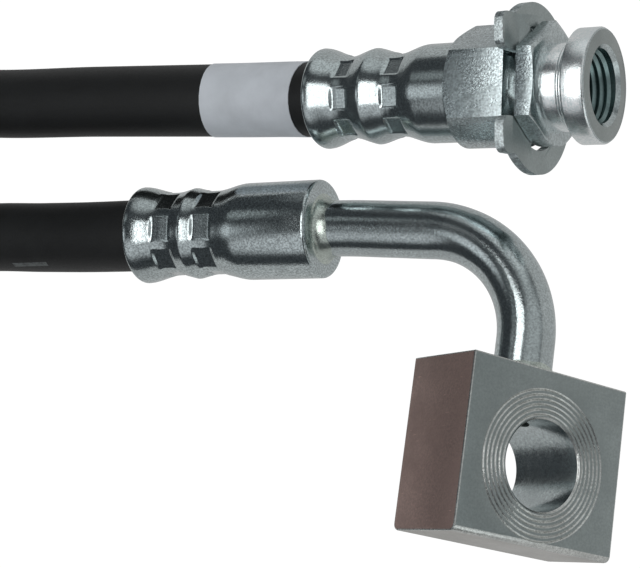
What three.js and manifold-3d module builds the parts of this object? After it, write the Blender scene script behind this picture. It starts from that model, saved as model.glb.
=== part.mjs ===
// Brake line of a road car: a rubber hose with a hex port fitting and its retaining clip on one
// end, and a crimped shell, a bent steel tube and a block for a hollow bolt on the other.
// Millimetres, +Z up. The line lies on the ground z = 0, with both hose ends pointing to +X.
// The frame's origin is the middle of the metal ends, on the ground.

import * as THREE from "three";
import { mergeVertices } from "three/addons/utils/BufferGeometryUtils.js";
import Module from "manifold-3d";

const wasm = await Module();
wasm.setup();

// Clearance between pieces that touch
const seatGap = 0.3;
// How far a cutting tool, or a piece that is joined on, reaches past a face
const overreach = 1;

// Hose
const hoseDiameter = 10.5;
const hoseBore = 3.2;
const tailInset = 0.12;
const labelLength = 15.6;
const labelThickness = 0.25;
const labelProud = 0.1;
const labelFromMouth = 2.7;

// Crimps: two rings of flats pressed into each skirt by a set of jaws
const jawCount = 8;
const flatAngle = 30;
const crimpPitch = 7.6;
const crimpLand = 2.4;
const ridgeShare = 0.36;
const portCrimpDepth = 1.1;
const portCrimpReach = 3.6;
const portCrimpFromMouth = 5.1;
const portCrimpTurn = 8.4;
const elbowCrimpDepth = 0.85;
const elbowCrimpReach = 5.2;
const elbowCrimpFromMouth = 4.7;
const elbowCrimpTurn = 9.2;

// Lip at the mouth of both skirts
const lipLength = 0.7;
const lipRounding = 0.45;
const mouthFlare = 0.3;

// Port fitting, turned from one hex bar
const hexAcrossFlats = 15.2;
const hexTurn = 89.4;
const hexLength = 8.6;
const hexChamfer = 0.9;
const hexChamferStart = 7.4;
const landLength = 2.45;
const landChamfer = 0.5;
const grooveDiameter = 12.0;
const neckDiameter = 11.4;
const neckLength = 3.45;
const noseDiameter = 14.9;
const noseLength = 3.1;
const noseChamfer = 0.35;
const portSkirtWall = 1.1;
const portSkirtLength = 22.1;
const portLipFlare = 0.5;
const portWebThickness = 1.4;
const threadDiameter = 9.5;
const threadDepth = 10.5;
const portCountersink = 0.55;
const flareSeatHeight = 1.9;
const flareSeatLand = 0.5;
const flowBore = 3.0;

// Nipples inside the hose ends
const nippleDiameter = 3.8;
const nippleWall = 0.8;
const nippleRoot = 2.6;
const collarDiameter = 6.8;
const collarThickness = 1.0;
const barbCount = 3;
const barbPitch = 3.2;
const barbHeight = 0.2;
const barbSlope = 0.8;
const nippleTip = 2.0;
const nippleInset = 1.0;

// Retaining clip, stamped from sheet
const clipThickness = 1.2;
const clipDiameter = 22.3;
const clipTurn = 91.3;
const clipLean = 1.4;
const clipThroat = 8.4;
const clipEarReach = 10.5;
const clipEarSpan = 17.75;
const clipEarDepth = 2.8;
const clipEarRadius = 1.7;
const clipLobeDepth = 1.75;
const clipLobeStart = 70;
const clipLobeEnd = 134;
const clipLobeSlant = 6;

// Crimped shell on the elbow end
const shellWall = 1.33;
const shellLength = 28.9;
const shellLipFlare = 0.36;
const shellHeadLength = 8.0;
const shellEdgeRadius = 0.5;
const tubeSocketDepth = 4.6;

// Bent steel tube
const tubeDiameter = 7.8;
const tubeWall = 0.9;
const kickStart = 1.0;
const kickAngle = 3.5;
const kickLength = 5.0;
const tubeRun = 16.45;
const bendRadius = 14.8;
const bendAngle = 89.2;
const bendFlattening = 0.92;
const flatteningRun = 0.2;
const legLength = 4.4;

// Block for a hollow bolt
const blockWidth = 24.9;
const blockHeight = 22.1;
const blockThickness = 12.5;
const blockTwist = 32.2;
const blockEdgeRadius = 0.9;
const boltBore = 11.5;
const boltBoreDepth = 11.95;
const boltBoreChamfer = 0.25;
const blockSocketDepth = 3.0;
const blockPassage = 3.4;

// Braze fillets
const shellFilletLength = 1.9;
const shellFilletHeight = 1.0;
const blockFilletLength = 1.1;
const blockFilletHeight = 1.0;
const filletRim = 0.15;

// Where the metal ends lie on the ground, before the frame's origin is moved to their middle
const portPlace = { x: 41.17, y: 16.6, yaw: -2.25, roll: 0 };
const elbowPlace = { x: 0, y: 0, yaw: 0, roll: -14.4 };

// Route of the hose on the ground from mouth to mouth, chosen by hand
const hoseRoute = [
  [-6, 18.65, 6.05],
  [-12.5, 19.03, 5.5],
  [-20.5, 19.47, 5.45],
  [-38, 20.42, 5.45],
  [-58.6, 21.5, 5.45],
  [-74, 24.1, 5.45],
  [-88.1, 30.8, 5.45],
  [-100, 40.9, 5.45],
  [-116.2, 56.1, 5.45],
  [-133.5, 62.3, 5.45],
  [-151.8, 61.8, 5.45],
  [-168.6, 54.5, 5.45],
  [-181.6, 41.6, 5.45],
  [-189, 24.8, 5.45],
  [-189.6, 6.4, 5.45],
  [-183.5, -10.8, 5.45],
  [-171.4, -24.7, 5.45],
  [-155.1, -33.1, 5.45],
  [-136.9, -34.9, 5.45],
  [-119.2, -29.9, 5.45],
  [-101.9, -15.9, 5.45],
  [-89.4, -6.6, 5.45],
  [-74.9, -1, 5.45],
  [-59.4, 0.6, 5.45],
  [-47.5, 0.32, 5.6],
  [-39.5, 0.1, 6.3],
];

// How far the hose leaves each mouth straight
const portExit = 1;
const elbowExit = 2;

// Facets of round shapes, and how near to a floor a skirt's rows of points end
const rowMargin = 0.5;
const turnedSides = 48;
const portSides = 30;
const innerSides = 24;
const smallSides = 12;
const hoseSides = 12;
const hoseBoreSides = 8;
const hoseSteps = 32;
const labelSteps = 3;
const bendRows = 12;
const kickRows = 2;
const clipArcSteps = 10;
const edgeArcSteps = 3;
const filletSteps = 3;

// Materials
const rubber = new THREE.MeshStandardMaterial({ color: 0x1b1c1e, roughness: 0.75, metalness: 0 });
const label = new THREE.MeshStandardMaterial({ color: 0xacb0b8, roughness: 0.6, metalness: 0 });
const zincFitting = new THREE.MeshStandardMaterial({ color: 0x9aa3a3, roughness: 0.35, metalness: 1 });
const zincShell = zincFitting.clone();
const zincBlock = new THREE.MeshStandardMaterial({ color: 0x868c8c, roughness: 0.4, metalness: 1 });
const zincTube = new THREE.MeshStandardMaterial({ color: 0xa7aba8, roughness: 0.22, metalness: 1 });
const springSteel = new THREE.MeshStandardMaterial({ color: 0x828887, roughness: 0.45, metalness: 1 });
const innerSteel = new THREE.MeshStandardMaterial({ color: 0x8f9494, roughness: 0.4, metalness: 1 });
const braze = new THREE.MeshStandardMaterial({ color: 0xc0c2bd, roughness: 0.3, metalness: 1 });

const rad = THREE.MathUtils.degToRad;

// Solid of a closed three.js geometry, for cuts and joins
function solidOf(geometry) {
  const bare = geometry.index ? geometry.toNonIndexed() : geometry.clone();
  bare.deleteAttribute("normal");
  bare.deleteAttribute("uv");
  const merged = mergeVertices(bare, 1e-4);
  return new wasm.Manifold(
    new wasm.Mesh({
      numProp: 3,
      vertProperties: merged.attributes.position.array,
      triVerts: new Uint32Array(merged.index.array),
    }),
  );
}

// Geometry of a solid that was cut or joined
function geometryOf(solid) {
  const mesh = solid.getMesh();
  const geometry = new THREE.BufferGeometry();
  geometry.setAttribute("position", new THREE.BufferAttribute(mesh.vertProperties, 3));
  geometry.setIndex(new THREE.BufferAttribute(mesh.triVerts, 1));
  geometry.computeVertexNormals();
  return geometry;
}

function join(...geometries) {
  return geometryOf(geometries.map(solidOf).reduce((a, b) => a.add(b)));
}

function cut(body, ...tools) {
  return geometryOf(tools.map(solidOf).reduce((a, b) => a.subtract(b), solidOf(body)));
}

function common(a, b) {
  return geometryOf(solidOf(a).intersect(solidOf(b)));
}

// Turned solid about the X axis from [x, radius] points. A profile that doesn't end on the axis
// closes on itself and makes a ring.
function turned(profile, sides = turnedSides) {
  const onAxis = profile[0][1] === 0;
  const loop = onAxis ? profile : [...profile, profile[0]];
  let area = 0;
  loop.slice(1).forEach(([x, r], i) => {
    area += loop[i][0] * r - x * loop[i][1];
  });
  const points = loop.map(([x, r]) => new THREE.Vector2(r, x));
  if (area > 0) points.reverse();
  return new THREE.LatheGeometry(points, sides).rotateZ(-Math.PI / 2);
}

// Solid bar about the X axis
function bar(x0, x1, radius, sides = turnedSides) {
  return turned([[x0, 0], [x0, radius], [x1, radius], [x1, 0]], sides);
}

// Points of a quarter round on a turned profile, from its side to its end face at x. The body lies
// towards +X or -X.
function roundedEnd(x, radius, size, towards) {
  return [0, 1, 2].map((step) => {
    const angle = (Math.PI / 4) * step;
    return [x + towards * size * (1 - Math.sin(angle)), radius - size * (1 - Math.cos(angle))];
  });
}

// Plate across the X axis: the outline's x and y run along the part's Y and Z
function plate(outline, x0, x1, curveSegments) {
  const options = { depth: x1 - x0, bevelEnabled: false, curveSegments };
  const basis = new THREE.Matrix4().makeBasis(
    new THREE.Vector3(0, 1, 0),
    new THREE.Vector3(0, 0, 1),
    new THREE.Vector3(1, 0, 0),
  );
  return new THREE.ExtrudeGeometry(outline, options).applyMatrix4(basis).translate(x0, 0, 0);
}

function regularPolygon(radius, sides) {
  const outline = new THREE.Shape();
  for (let i = 0; i < sides; i++) {
    const angle = (2 * Math.PI * (i + 0.5)) / sides;
    outline[i ? "lineTo" : "moveTo"](radius * Math.cos(angle), radius * Math.sin(angle));
  }
  return outline;
}

// Radius of a polygon's corners that keeps the circle's mean radius
function cornerRadius(radius, sides) {
  return radius / Math.sqrt(Math.cos(Math.PI / sides));
}

// How far a crimp has moved a point of a skirt, or of the hose in it, towards the axis. The jaws
// leave flats, and the metal between two flats stands up as a ridge.
function pressedIn(x, angle, crimp) {
  const land = crimpLand / 2;
  const squeeze = crimp.centres
    .map((centre) => THREE.MathUtils.clamp((Math.abs(x - centre) - land) / (crimp.reach - land), 0, 1))
    .map((u) => (1 + Math.cos(Math.PI * u)) / 2)
    .reduce((a, b) => a + b);
  const sector = (2 * Math.PI) / jawCount;
  const fromFlat = Math.abs(angle / sector - Math.round(angle / sector)) * sector;
  const flat = crimp.radius - (crimp.radius - crimp.depth) / Math.cos(fromFlat);
  const ridge = crimp.depth * ridgeShare;
  const onFlat = fromFlat <= rad(flatAngle / 2) + 1e-6;
  return squeeze * (onFlat ? flat : ridge);
}

// Presses a turned geometry, apart from what lies nearer to the axis than the hose's bore
function press(geometry, crimp) {
  const position = geometry.attributes.position;
  for (let i = 0; i < position.count; i++) {
    const y = position.getY(i);
    const z = position.getZ(i);
    const radius = Math.hypot(y, z);
    if (radius > hoseBore / 2) {
      const scale = 1 - pressedIn(position.getX(i), Math.atan2(z, y), crimp) / radius;
      position.setY(i, y * scale);
      position.setZ(i, z * scale);
    }
  }
  return geometry.rotateX(rad(crimp.turn));
}

// Places along a skirt where its surface needs a row of points, from its lip inwards
function crimpRows(crimp) {
  const land = crimpLand / 2;
  const middle = (land + crimp.reach) / 2;
  const offsets = [-crimp.reach, -middle, -land, land, middle, crimp.reach];
  const rows = crimp.centres.flatMap((centre) => offsets.map((offset) => centre + offset));
  return rows.filter((x) => x > crimp.mouth + lipLength && x < crimp.end).sort((a, b) => a - b);
}

// Both skirts hold the hose with the same clearance, so their walls give their outer sizes
const hoseRadius = hoseDiameter / 2;
const cavityRadius = hoseRadius + seatGap;

const groovePlace = -(noseLength + neckLength + landLength);
const grooveWidth = clipThickness + 2 * seatGap;
const hexPlace = groovePlace - grooveWidth;
const hexBack = hexPlace - hexLength;
const portMouth = hexBack - portSkirtLength;
const portFloor = hexBack - portWebThickness;
const portCrimp = {
  radius: cavityRadius + portSkirtWall,
  depth: portCrimpDepth,
  reach: portCrimpReach,
  turn: portCrimpTurn,
  mouth: portMouth,
  end: hexBack - seatGap,
  flare: portLipFlare,
  centres: [portMouth + portCrimpFromMouth, portMouth + portCrimpFromMouth + crimpPitch],
};

const shellMouth = -shellLength;
const shellFloor = -shellHeadLength;
const shellCrimp = {
  radius: cavityRadius + shellWall,
  depth: elbowCrimpDepth,
  reach: elbowCrimpReach,
  turn: elbowCrimpTurn,
  mouth: shellMouth,
  end: -2 * shellEdgeRadius,
  flare: shellLipFlare,
  centres: [shellMouth + elbowCrimpFromMouth, shellMouth + elbowCrimpFromMouth + crimpPitch],
};

// Outer radius of a skirt before it is pressed: straight, then opening to a lip at the mouth
function skirtRadius(x, crimp) {
  const from = crimp.centres[0];
  const share = THREE.MathUtils.clamp((from - x) / (from - crimp.mouth - lipLength), 0, 1);
  return crimp.radius + crimp.flare * share;
}

// Pressed skirt as a solid bar with a rounded lip, from its mouth to an end given by profile points
function skirtBar(crimp, endPoints) {
  const lip = crimp.mouth + lipLength;
  const lipRadius = skirtRadius(lip, crimp);
  const profile = [
    [crimp.mouth, 0],
    ...roundedEnd(crimp.mouth, lipRadius, lipRounding, 1).reverse(),
    [lip, lipRadius],
    ...crimpRows(crimp).map((x) => [x, skirtRadius(x, crimp)]),
    ...endPoints,
    [endPoints.at(-1)[0], 0],
  ];
  return press(turned(profile), crimp);
}

// Hollow of a pressed skirt, open at the mouth, down to the floor that the nipple stands on
function skirtHollow(crimp, floor) {
  const lip = crimp.mouth + lipLength;
  const rows = crimpRows(crimp).filter((x) => x < floor - rowMargin);
  const profile = [
    [crimp.mouth - overreach, 0],
    [crimp.mouth - overreach, cavityRadius + mouthFlare],
    [lip, cavityRadius + mouthFlare],
    ...rows.map((x) => [x, cavityRadius]),
    [floor, cavityRadius],
    [floor, 0],
  ];
  return press(turned(profile, innerSides), crimp);
}

// Hex outline with one corner turned down to the inscribed circle
function hexOutline() {
  const inscribed = hexAcrossFlats / 2;
  const circumscribed = inscribed / Math.cos(Math.PI / 6);
  const roundedCorner = 1;
  const outline = new THREE.Shape();
  for (let i = 0; i < 6; i++) {
    const corner = rad(hexTurn + 30 + 60 * i);
    if (i === roundedCorner) {
      const start = corner - Math.PI / 6;
      outline.lineTo(inscribed * Math.cos(start), inscribed * Math.sin(start));
      outline.absarc(0, 0, inscribed, start, corner + Math.PI / 6, false);
    } else {
      outline[i ? "lineTo" : "moveTo"](circumscribed * Math.cos(corner), circumscribed * Math.sin(corner));
    }
  }
  return outline;
}

// Hex bar whose corners are chamfered by turning, at one end or the other
function hexBar(x0, x1, chamferedEnd, chamfer) {
  const outline = hexOutline();
  const small = hexChamferStart;
  const corner = hexAcrossFlats / 2 / Math.cos(Math.PI / 6);
  const large = corner + overreach;
  const run = (chamfer * (large - small)) / (corner - small);
  const envelope =
    chamferedEnd < 0
      ? [[x0, 0], [x0, small], [x0 + run, large], [x1, large], [x1, 0]]
      : [[x0, 0], [x0, large], [x1 - run, large], [x1, small], [x1, 0]];
  return common(plate(outline, x0, x1, turnedSides / 6), turned(envelope));
}

// One-piece port fitting: hex, clip groove, thin hex, neck and nose, with the port in the nose
function portFitting() {
  const neckEnd = -noseLength - neckLength;
  const noseRadius = noseDiameter / 2;
  const core = turned([
    [hexBack - overreach, 0],
    [hexBack - overreach, grooveDiameter / 2],
    [neckEnd - overreach, grooveDiameter / 2],
    [neckEnd - overreach, neckDiameter / 2],
    [-noseLength, neckDiameter / 2],
    [-noseLength, noseRadius],
    [-noseChamfer, noseRadius],
    [0, noseRadius - noseChamfer],
    [0, 0],
  ]);
  const threadRadius = threadDiameter / 2;
  const flowRadius = flowBore / 2;
  const port = turned(
    [
      [overreach, 0],
      [overreach, threadRadius + portCountersink],
      [0, threadRadius + portCountersink],
      [-portCountersink, threadRadius],
      [-threadDepth, threadRadius],
      [-threadDepth, flowRadius + flareSeatLand + flareSeatHeight],
      [flareSeatHeight - threadDepth, flowRadius + flareSeatLand],
      [flareSeatHeight - threadDepth, flowRadius],
      [portFloor + nippleRoot + seatGap, flowRadius],
      [portFloor + nippleRoot + seatGap, 0],
    ],
    portSides,
  );
  const rootRadius = nippleDiameter / 2 + seatGap;
  const rootHole = bar(portFloor - overreach, portFloor + nippleRoot + seatGap, rootRadius, smallSides);
  const flow = bar(portFloor, -threadDepth, flowRadius, smallSides);
  const body = join(
    core,
    hexBar(hexBack, hexPlace, -1, hexChamfer),
    hexBar(groovePlace, neckEnd, 1, landChamfer),
    skirtBar(portCrimp, [[hexBack + overreach, portCrimp.radius]]),
  );
  return cut(body, port, rootHole, flow, skirtHollow(portCrimp, portFloor));
}

// Nipple that the hose is crimped on. Its collar stands on the floor of the skirt at x = 0, its
// root reaches into the body behind it, and its barbed stem reaches towards the mouth.
function nipple(stemLength) {
  const radius = nippleDiameter / 2;
  const valley = radius - barbHeight;
  const bore = radius - nippleWall;
  const collarFront = -seatGap;
  const collarBack = collarFront - collarThickness;
  const profile = [
    [nippleRoot, bore],
    [nippleRoot, radius],
    [collarFront, radius],
    [collarFront, collarDiameter / 2],
    [collarBack, collarDiameter / 2],
  ];
  const firstBarb = -stemLength + nippleTip;
  profile.push([collarBack, valley]);
  for (let i = barbCount - 1; i >= 0; i--) {
    const peak = firstBarb + (i + barbSlope) * barbPitch;
    profile.push([peak, valley], [peak, radius]);
    profile.push([firstBarb + i * barbPitch, valley]);
  }
  profile.push([-stemLength, valley - barbHeight], [-stemLength, bore]);
  return turned(profile, smallSides);
}

// Flat clip with two ears beside its throat, two relief lobes and a tongue opposite the throat
function retainingClip() {
  const grip = grooveDiameter / 2 + seatGap;
  const outer = clipDiameter / 2;
  const throat = clipThroat / 2;
  const span = clipEarSpan / 2;
  const lobe = grip + clipLobeDepth;
  const shoulder = clipEarReach - clipEarDepth;
  const shoulderAngle = Math.acos(shoulder / outer);
  const throatAngle = Math.asin(throat / grip);
  const lobeStart = rad(clipLobeStart);
  const lobeEnd = rad(clipLobeEnd);
  const lobeSlant = rad(clipLobeSlant);
  const outline = new THREE.Shape();
  outline.absarc(0, 0, outer, shoulderAngle, 2 * Math.PI - shoulderAngle, false);
  outline.lineTo(shoulder, -span);
  outline.lineTo(clipEarReach - clipEarRadius, -span);
  outline.quadraticCurveTo(clipEarReach, -span, clipEarReach, clipEarRadius - span);
  outline.lineTo(clipEarReach, -throat - clipEarRadius);
  outline.quadraticCurveTo(clipEarReach, -throat, clipEarReach - clipEarRadius, -throat);
  outline.absarc(0, 0, grip, -throatAngle, -lobeStart, true);
  outline.absarc(0, 0, lobe, -lobeStart - lobeSlant, lobeSlant - lobeEnd, true);
  outline.absarc(0, 0, grip, -lobeEnd, lobeEnd - 2 * Math.PI, true);
  outline.absarc(0, 0, lobe, lobeEnd - lobeSlant, lobeStart + lobeSlant, true);
  outline.absarc(0, 0, grip, lobeStart, throatAngle, true);
  outline.lineTo(clipEarReach - clipEarRadius, throat);
  outline.quadraticCurveTo(clipEarReach, throat, clipEarReach, throat + clipEarRadius);
  outline.lineTo(clipEarReach, span - clipEarRadius);
  outline.quadraticCurveTo(clipEarReach, span, clipEarReach - clipEarRadius, span);
  outline.lineTo(shoulder, span);
  const half = clipThickness / 2;
  const flat = plate(outline, -half, half, clipArcSteps).rotateX(rad(clipTurn));
  return flat.rotateZ(rad(clipLean)).translate(groovePlace - seatGap - half, 0, 0);
}

// Crimped shell: a thick head that the tube is brazed into, and the skirt
function elbowShell() {
  const body = skirtBar(shellCrimp, roundedEnd(0, shellCrimp.radius, shellEdgeRadius, -1));
  const socket = bar(-tubeSocketDepth, overreach, tubeDiameter / 2 + seatGap, innerSides);
  const rootRadius = nippleDiameter / 2 + seatGap;
  const rootHole = bar(shellFloor - overreach, overreach - tubeSocketDepth, rootRadius, smallSides);
  return cut(body, skirtHollow(shellCrimp, shellFloor), socket, rootHole);
}

// Centreline of the bent tube in the XY plane, as places with a heading: a run, a slight kick,
// the rest of the run, the bend and the leg. It starts in the shell and ends in the block.
function tubeStations() {
  const stations = [];
  let x = seatGap - tubeSocketDepth;
  let y = 0;
  let heading = 0;
  let bent = 0;
  const leg = (length, angle, rows, flattens) => {
    for (let i = stations.length ? 1 : 0; i <= rows; i++) {
      const share = i / rows;
      const turn = (angle * share) / 2;
      const chord = angle ? (length / angle) * 2 * Math.sin(turn) : length * share;
      stations.push({
        x: x + chord * Math.cos(heading - turn),
        y: y + chord * Math.sin(heading - turn),
        heading: heading - 2 * turn,
        bent: flattens ? Math.min(1, share / flatteningRun) : bent,
      });
    }
    ({ x, y, heading, bent } = stations.at(-1));
  };
  leg(tubeSocketDepth - seatGap + kickStart, 0, 1, false);
  leg(kickLength, rad(kickAngle), kickRows, false);
  leg(tubeRun - kickStart - kickLength, 0, 1, false);
  leg(rad(bendAngle) * bendRadius, rad(bendAngle), bendRows, true);
  const top = stations.length;
  leg(legLength, 0, 1, false);
  leg(blockSocketDepth - seatGap, 0, 1, false);
  return { stations, legEnd: stations[top] };
}

// Closed tube wall through rings of points: out along the outer rings and back along the inner
function ringedSolid(rings) {
  const sides = rings[0].length;
  const index = [];
  rings.forEach((ring, i) => {
    const next = (i + 1) % rings.length;
    for (let j = 0; j < sides; j++) {
      const a = i * sides + j;
      const b = i * sides + ((j + 1) % sides);
      const c = next * sides + j;
      const d = next * sides + ((j + 1) % sides);
      index.push(a, b, c, b, d, c);
    }
  });
  const geometry = new THREE.BufferGeometry().setFromPoints(rings.flat());
  geometry.setIndex(index);
  geometry.computeVertexNormals();
  return geometry;
}

// Bent tube, a little flattened in the plane of its bend
function elbowTube() {
  const ring = (station, radius) => {
    const points = [];
    const flat = 1 - (1 - bendFlattening) * station.bent;
    for (let j = 0; j < innerSides; j++) {
      const angle = (2 * Math.PI * j) / innerSides;
      const side = radius * flat * Math.cos(angle);
      points.push(
        new THREE.Vector3(
          station.x - side * Math.sin(station.heading),
          station.y + side * Math.cos(station.heading),
          radius * Math.sin(angle),
        ),
      );
    }
    return points;
  };
  const { stations } = tubeStations();
  const outside = stations.map((station) => ring(station, tubeDiameter / 2));
  const inside = stations.map((station) => ring(station, tubeDiameter / 2 - tubeWall)).reverse();
  return ringedSolid([...outside, ...inside]);
}

// Block, with the top of its front at the tube: X is the front's normal and Y the way to the tube
function banjoBlock() {
  const depth = blockThickness / 2;
  const edge = blockEdgeRadius;
  const section = new THREE.Shape();
  section.moveTo(depth, 0);
  section.lineTo(-depth, 0);
  section.lineTo(-depth, edge - blockHeight);
  section.absarc(edge - depth, edge - blockHeight, edge, Math.PI, 1.5 * Math.PI, false);
  section.absarc(depth - edge, edge - blockHeight, edge, 1.5 * Math.PI, 2 * Math.PI, false);
  const options = { depth: blockWidth, bevelEnabled: false, curveSegments: edgeArcSteps };
  const blank = new THREE.ExtrudeGeometry(section, options).translate(0, 0, -blockWidth / 2);
  const boreRadius = boltBore / 2;
  const chamfer = boltBoreChamfer;
  const bore = turned([
    [-depth - overreach, 0],
    [-depth - overreach, boreRadius + chamfer],
    [-depth, boreRadius + chamfer],
    [-depth + chamfer, boreRadius],
    [depth - chamfer, boreRadius],
    [depth, boreRadius + chamfer],
    [depth + overreach, boreRadius + chamfer],
    [depth + overreach, 0],
  ]).translate(0, -boltBoreDepth, 0);
  const down = (geometry) => geometry.rotateZ(-Math.PI / 2);
  const socket = down(bar(-overreach, blockSocketDepth, tubeDiameter / 2 + seatGap, innerSides));
  const passage = down(bar(0, boltBoreDepth, blockPassage / 2, smallSides));
  return cut(blank, bore, socket, passage);
}

// Fillet of braze around a tube that leaves a flat face at x = 0
function brazeFillet(length, height) {
  const inner = tubeDiameter / 2 + seatGap;
  const profile = [[seatGap, inner]];
  for (let i = 0; i <= filletSteps; i++) {
    const angle = (Math.PI / 2) * (i / filletSteps);
    const across = height * (1 - Math.sin(angle)) + filletRim;
    profile.push([seatGap + (length - seatGap) * (1 - Math.cos(angle)), inner + across]);
  }
  profile.push([length, inner]);
  return turned(profile, innerSides);
}

function piece(name, geometry, material) {
  const mesh = new THREE.Mesh(geometry, material);
  mesh.name = name;
  return mesh;
}

const portEnd = new THREE.Group();
const portNippleLength = portFloor - portMouth - nippleInset;
const portNipple = piece("port_nipple", nipple(portNippleLength), innerSteel);
portNipple.position.x = portFloor;
portEnd.add(
  piece("port_fitting", portFitting(), zincFitting),
  piece("retaining_clip", retainingClip(), springSteel),
  portNipple,
);

const elbowEnd = new THREE.Group();
const elbowNippleLength = shellFloor - shellMouth - nippleInset;
const elbowNipple = piece("elbow_nipple", nipple(elbowNippleLength), innerSteel);
elbowNipple.position.x = shellFloor;
const legEnd = new THREE.Group();
const { legEnd: legPlace } = tubeStations();
legEnd.position.set(legPlace.x, legPlace.y, 0);
legEnd.rotation.z = legPlace.heading + Math.PI / 2;
const block = piece("banjo_block", banjoBlock(), zincBlock);
block.rotation.y = -rad(blockTwist);
const blockRing = brazeFillet(blockFilletLength, blockFilletHeight).rotateZ(Math.PI / 2);
blockRing.scale(bendFlattening, 1, 1);
legEnd.add(block, piece("braze_ring_block", blockRing, braze));
elbowEnd.add(
  piece("elbow_shell", elbowShell(), zincShell),
  elbowNipple,
  piece("elbow_tube", elbowTube(), zincTube),
  piece("braze_ring_shell", brazeFillet(shellFilletLength, shellFilletHeight), braze),
  legEnd,
);

// Points of all meshes of a group, in the frame that the group stands in
function worldPoints(group) {
  group.updateMatrixWorld(true);
  const points = [];
  group.traverse((object) => {
    if (!object.isMesh) return;
    const position = object.geometry.attributes.position;
    for (let i = 0; i < position.count; i++) {
      points.push(new THREE.Vector3().fromBufferAttribute(position, i).applyMatrix4(object.matrixWorld));
    }
  });
  return points;
}

// Lays an end on the ground: the lowest point of its lip touches, and it tilts up about that
// point until another of its points touches too.
function layDown(end, place, mouth) {
  end.rotation.set(rad(place.roll), 0, 0);
  const points = worldPoints(end);
  const lipEnd = mouth + crimpPitch;
  const lip = points.filter((p) => p.x < lipEnd).reduce((a, b) => (b.z < a.z ? b : a));
  const tilts = points.filter((p) => p.x > lipEnd).map((p) => Math.atan2(lip.z - p.z, p.x - lip.x));
  const tilt = tilts.reduce((a, b) => Math.max(a, b));
  end.rotation.set(rad(place.roll), -tilt, rad(place.yaw), "ZYX");
  const lowest = worldPoints(end).reduce((low, p) => Math.min(low, p.z), Infinity);
  end.position.set(place.x, place.y, -lowest);
  end.updateMatrixWorld(true);
}
layDown(portEnd, portPlace, portMouth);
layDown(elbowEnd, elbowPlace, shellMouth);

// Centreline of the hose: straight in each skirt, and along its route between them
const sleeveStart = portMouth + lipLength;
const sleeveEnd = shellMouth + lipLength;
function onAxis(end, x) {
  return end.localToWorld(new THREE.Vector3(x, 0, 0));
}
const hosePoints = [
  onAxis(portEnd, sleeveStart),
  onAxis(portEnd, portMouth - portExit),
  ...hoseRoute.map(([x, y, z]) => new THREE.Vector3(x, y, z)),
  onAxis(elbowEnd, shellMouth - elbowExit),
  onAxis(elbowEnd, sleeveEnd),
];
const hoseCurve = new THREE.CatmullRomCurve3(hosePoints, false, "centripetal");

// Tube with a round section along a stretch of the hose's centreline, given in shares of it
function alongHose(radius, sides, from, to, steps) {
  const stretch = [];
  for (let i = 0; i <= steps; i++) {
    stretch.push(hoseCurve.getPointAt(from + ((to - from) * i) / steps));
  }
  const path = new THREE.CatmullRomCurve3(stretch, false, "centripetal");
  const outline = regularPolygon(cornerRadius(radius, sides), sides);
  return new THREE.ExtrudeGeometry(outline, { steps, bevelEnabled: false, extrudePath: path });
}

// End of the hose inside a skirt, squeezed by the crimps
function hoseTail(end, crimp, floor) {
  const stop = floor - 2 * seatGap - collarThickness;
  const rows = crimpRows(crimp).filter((x) => x < stop - rowMargin);
  const profile = [
    [crimp.mouth + tailInset, 0],
    [crimp.mouth + tailInset, hoseRadius - tailInset],
    [crimp.mouth + lipLength, hoseRadius - tailInset],
    ...rows.map((x) => [x, hoseRadius]),
    [stop, hoseRadius],
    [stop, 0],
  ];
  return press(turned(profile, innerSides), crimp).applyMatrix4(end.matrixWorld);
}

function nipplePocket(end, floor, stemLength) {
  const pocket = bar(floor - stemLength - 2 * seatGap, floor, nippleDiameter / 2 + seatGap, smallSides);
  return pocket.applyMatrix4(end.matrixWorld);
}

function hose() {
  const body = join(
    alongHose(hoseRadius, hoseSides, 0, 1, hoseSteps),
    hoseTail(portEnd, portCrimp, portFloor),
    hoseTail(elbowEnd, shellCrimp, shellFloor),
  );
  return cut(
    body,
    alongHose(hoseBore / 2, hoseBoreSides, 0, 1, hoseSteps),
    nipplePocket(portEnd, portFloor, portNippleLength),
    nipplePocket(elbowEnd, shellFloor, elbowNippleLength),
  );
}

// Printed band around the hose, a little way from the port fitting's mouth. The hose is drawn in
// under it, so that the band lies flush.
function labelStretch(margin) {
  const length = hoseCurve.getLength();
  const from = (lipLength + labelFromMouth - margin) / length;
  return [from, from + (labelLength + 2 * margin) / length];
}
function labelSleeve(inner, outer, margin) {
  const [from, to] = labelStretch(margin);
  const over = overreach / hoseCurve.getLength();
  return cut(
    alongHose(outer, hoseSides, from, to, labelSteps),
    alongHose(inner, hoseSides, from - over, to + over, labelSteps),
  );
}

const labelOuter = hoseRadius + labelProud;
const labelInner = labelOuter - labelThickness;
const labelNeck = labelSleeve(labelInner - seatGap, labelOuter + overreach, seatGap);
const line = new THREE.Group();
line.add(
  portEnd,
  elbowEnd,
  piece("hose", cut(hose(), labelNeck), rubber),
  piece("label_band", labelSleeve(labelInner, labelOuter, 0), label),
);

// The frame's origin: the middle of the metal ends, on the ground
const elbowBox = new THREE.Box3().setFromObject(elbowEnd, true);
const metalBox = new THREE.Box3().setFromObject(portEnd, true).union(elbowBox);
const middle = metalBox.getCenter(new THREE.Vector3());
line.position.set(-middle.x, -middle.y, -metalBox.min.z);

const brakeLine = new THREE.Group();
brakeLine.add(line);

export default brakeLine;
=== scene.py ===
"""Looks of a car's brake line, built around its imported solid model.

A rubber hose runs from a hex port fitting, held by a retaining clip, to a crimped shell with a bent
steel tube and a block for a hollow bolt. Lengths are metres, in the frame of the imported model.
"""

import logging
import math
from collections.abc import Callable, Iterator, Sequence
from contextlib import contextmanager
from dataclasses import dataclass, field
from enum import Enum

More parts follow.
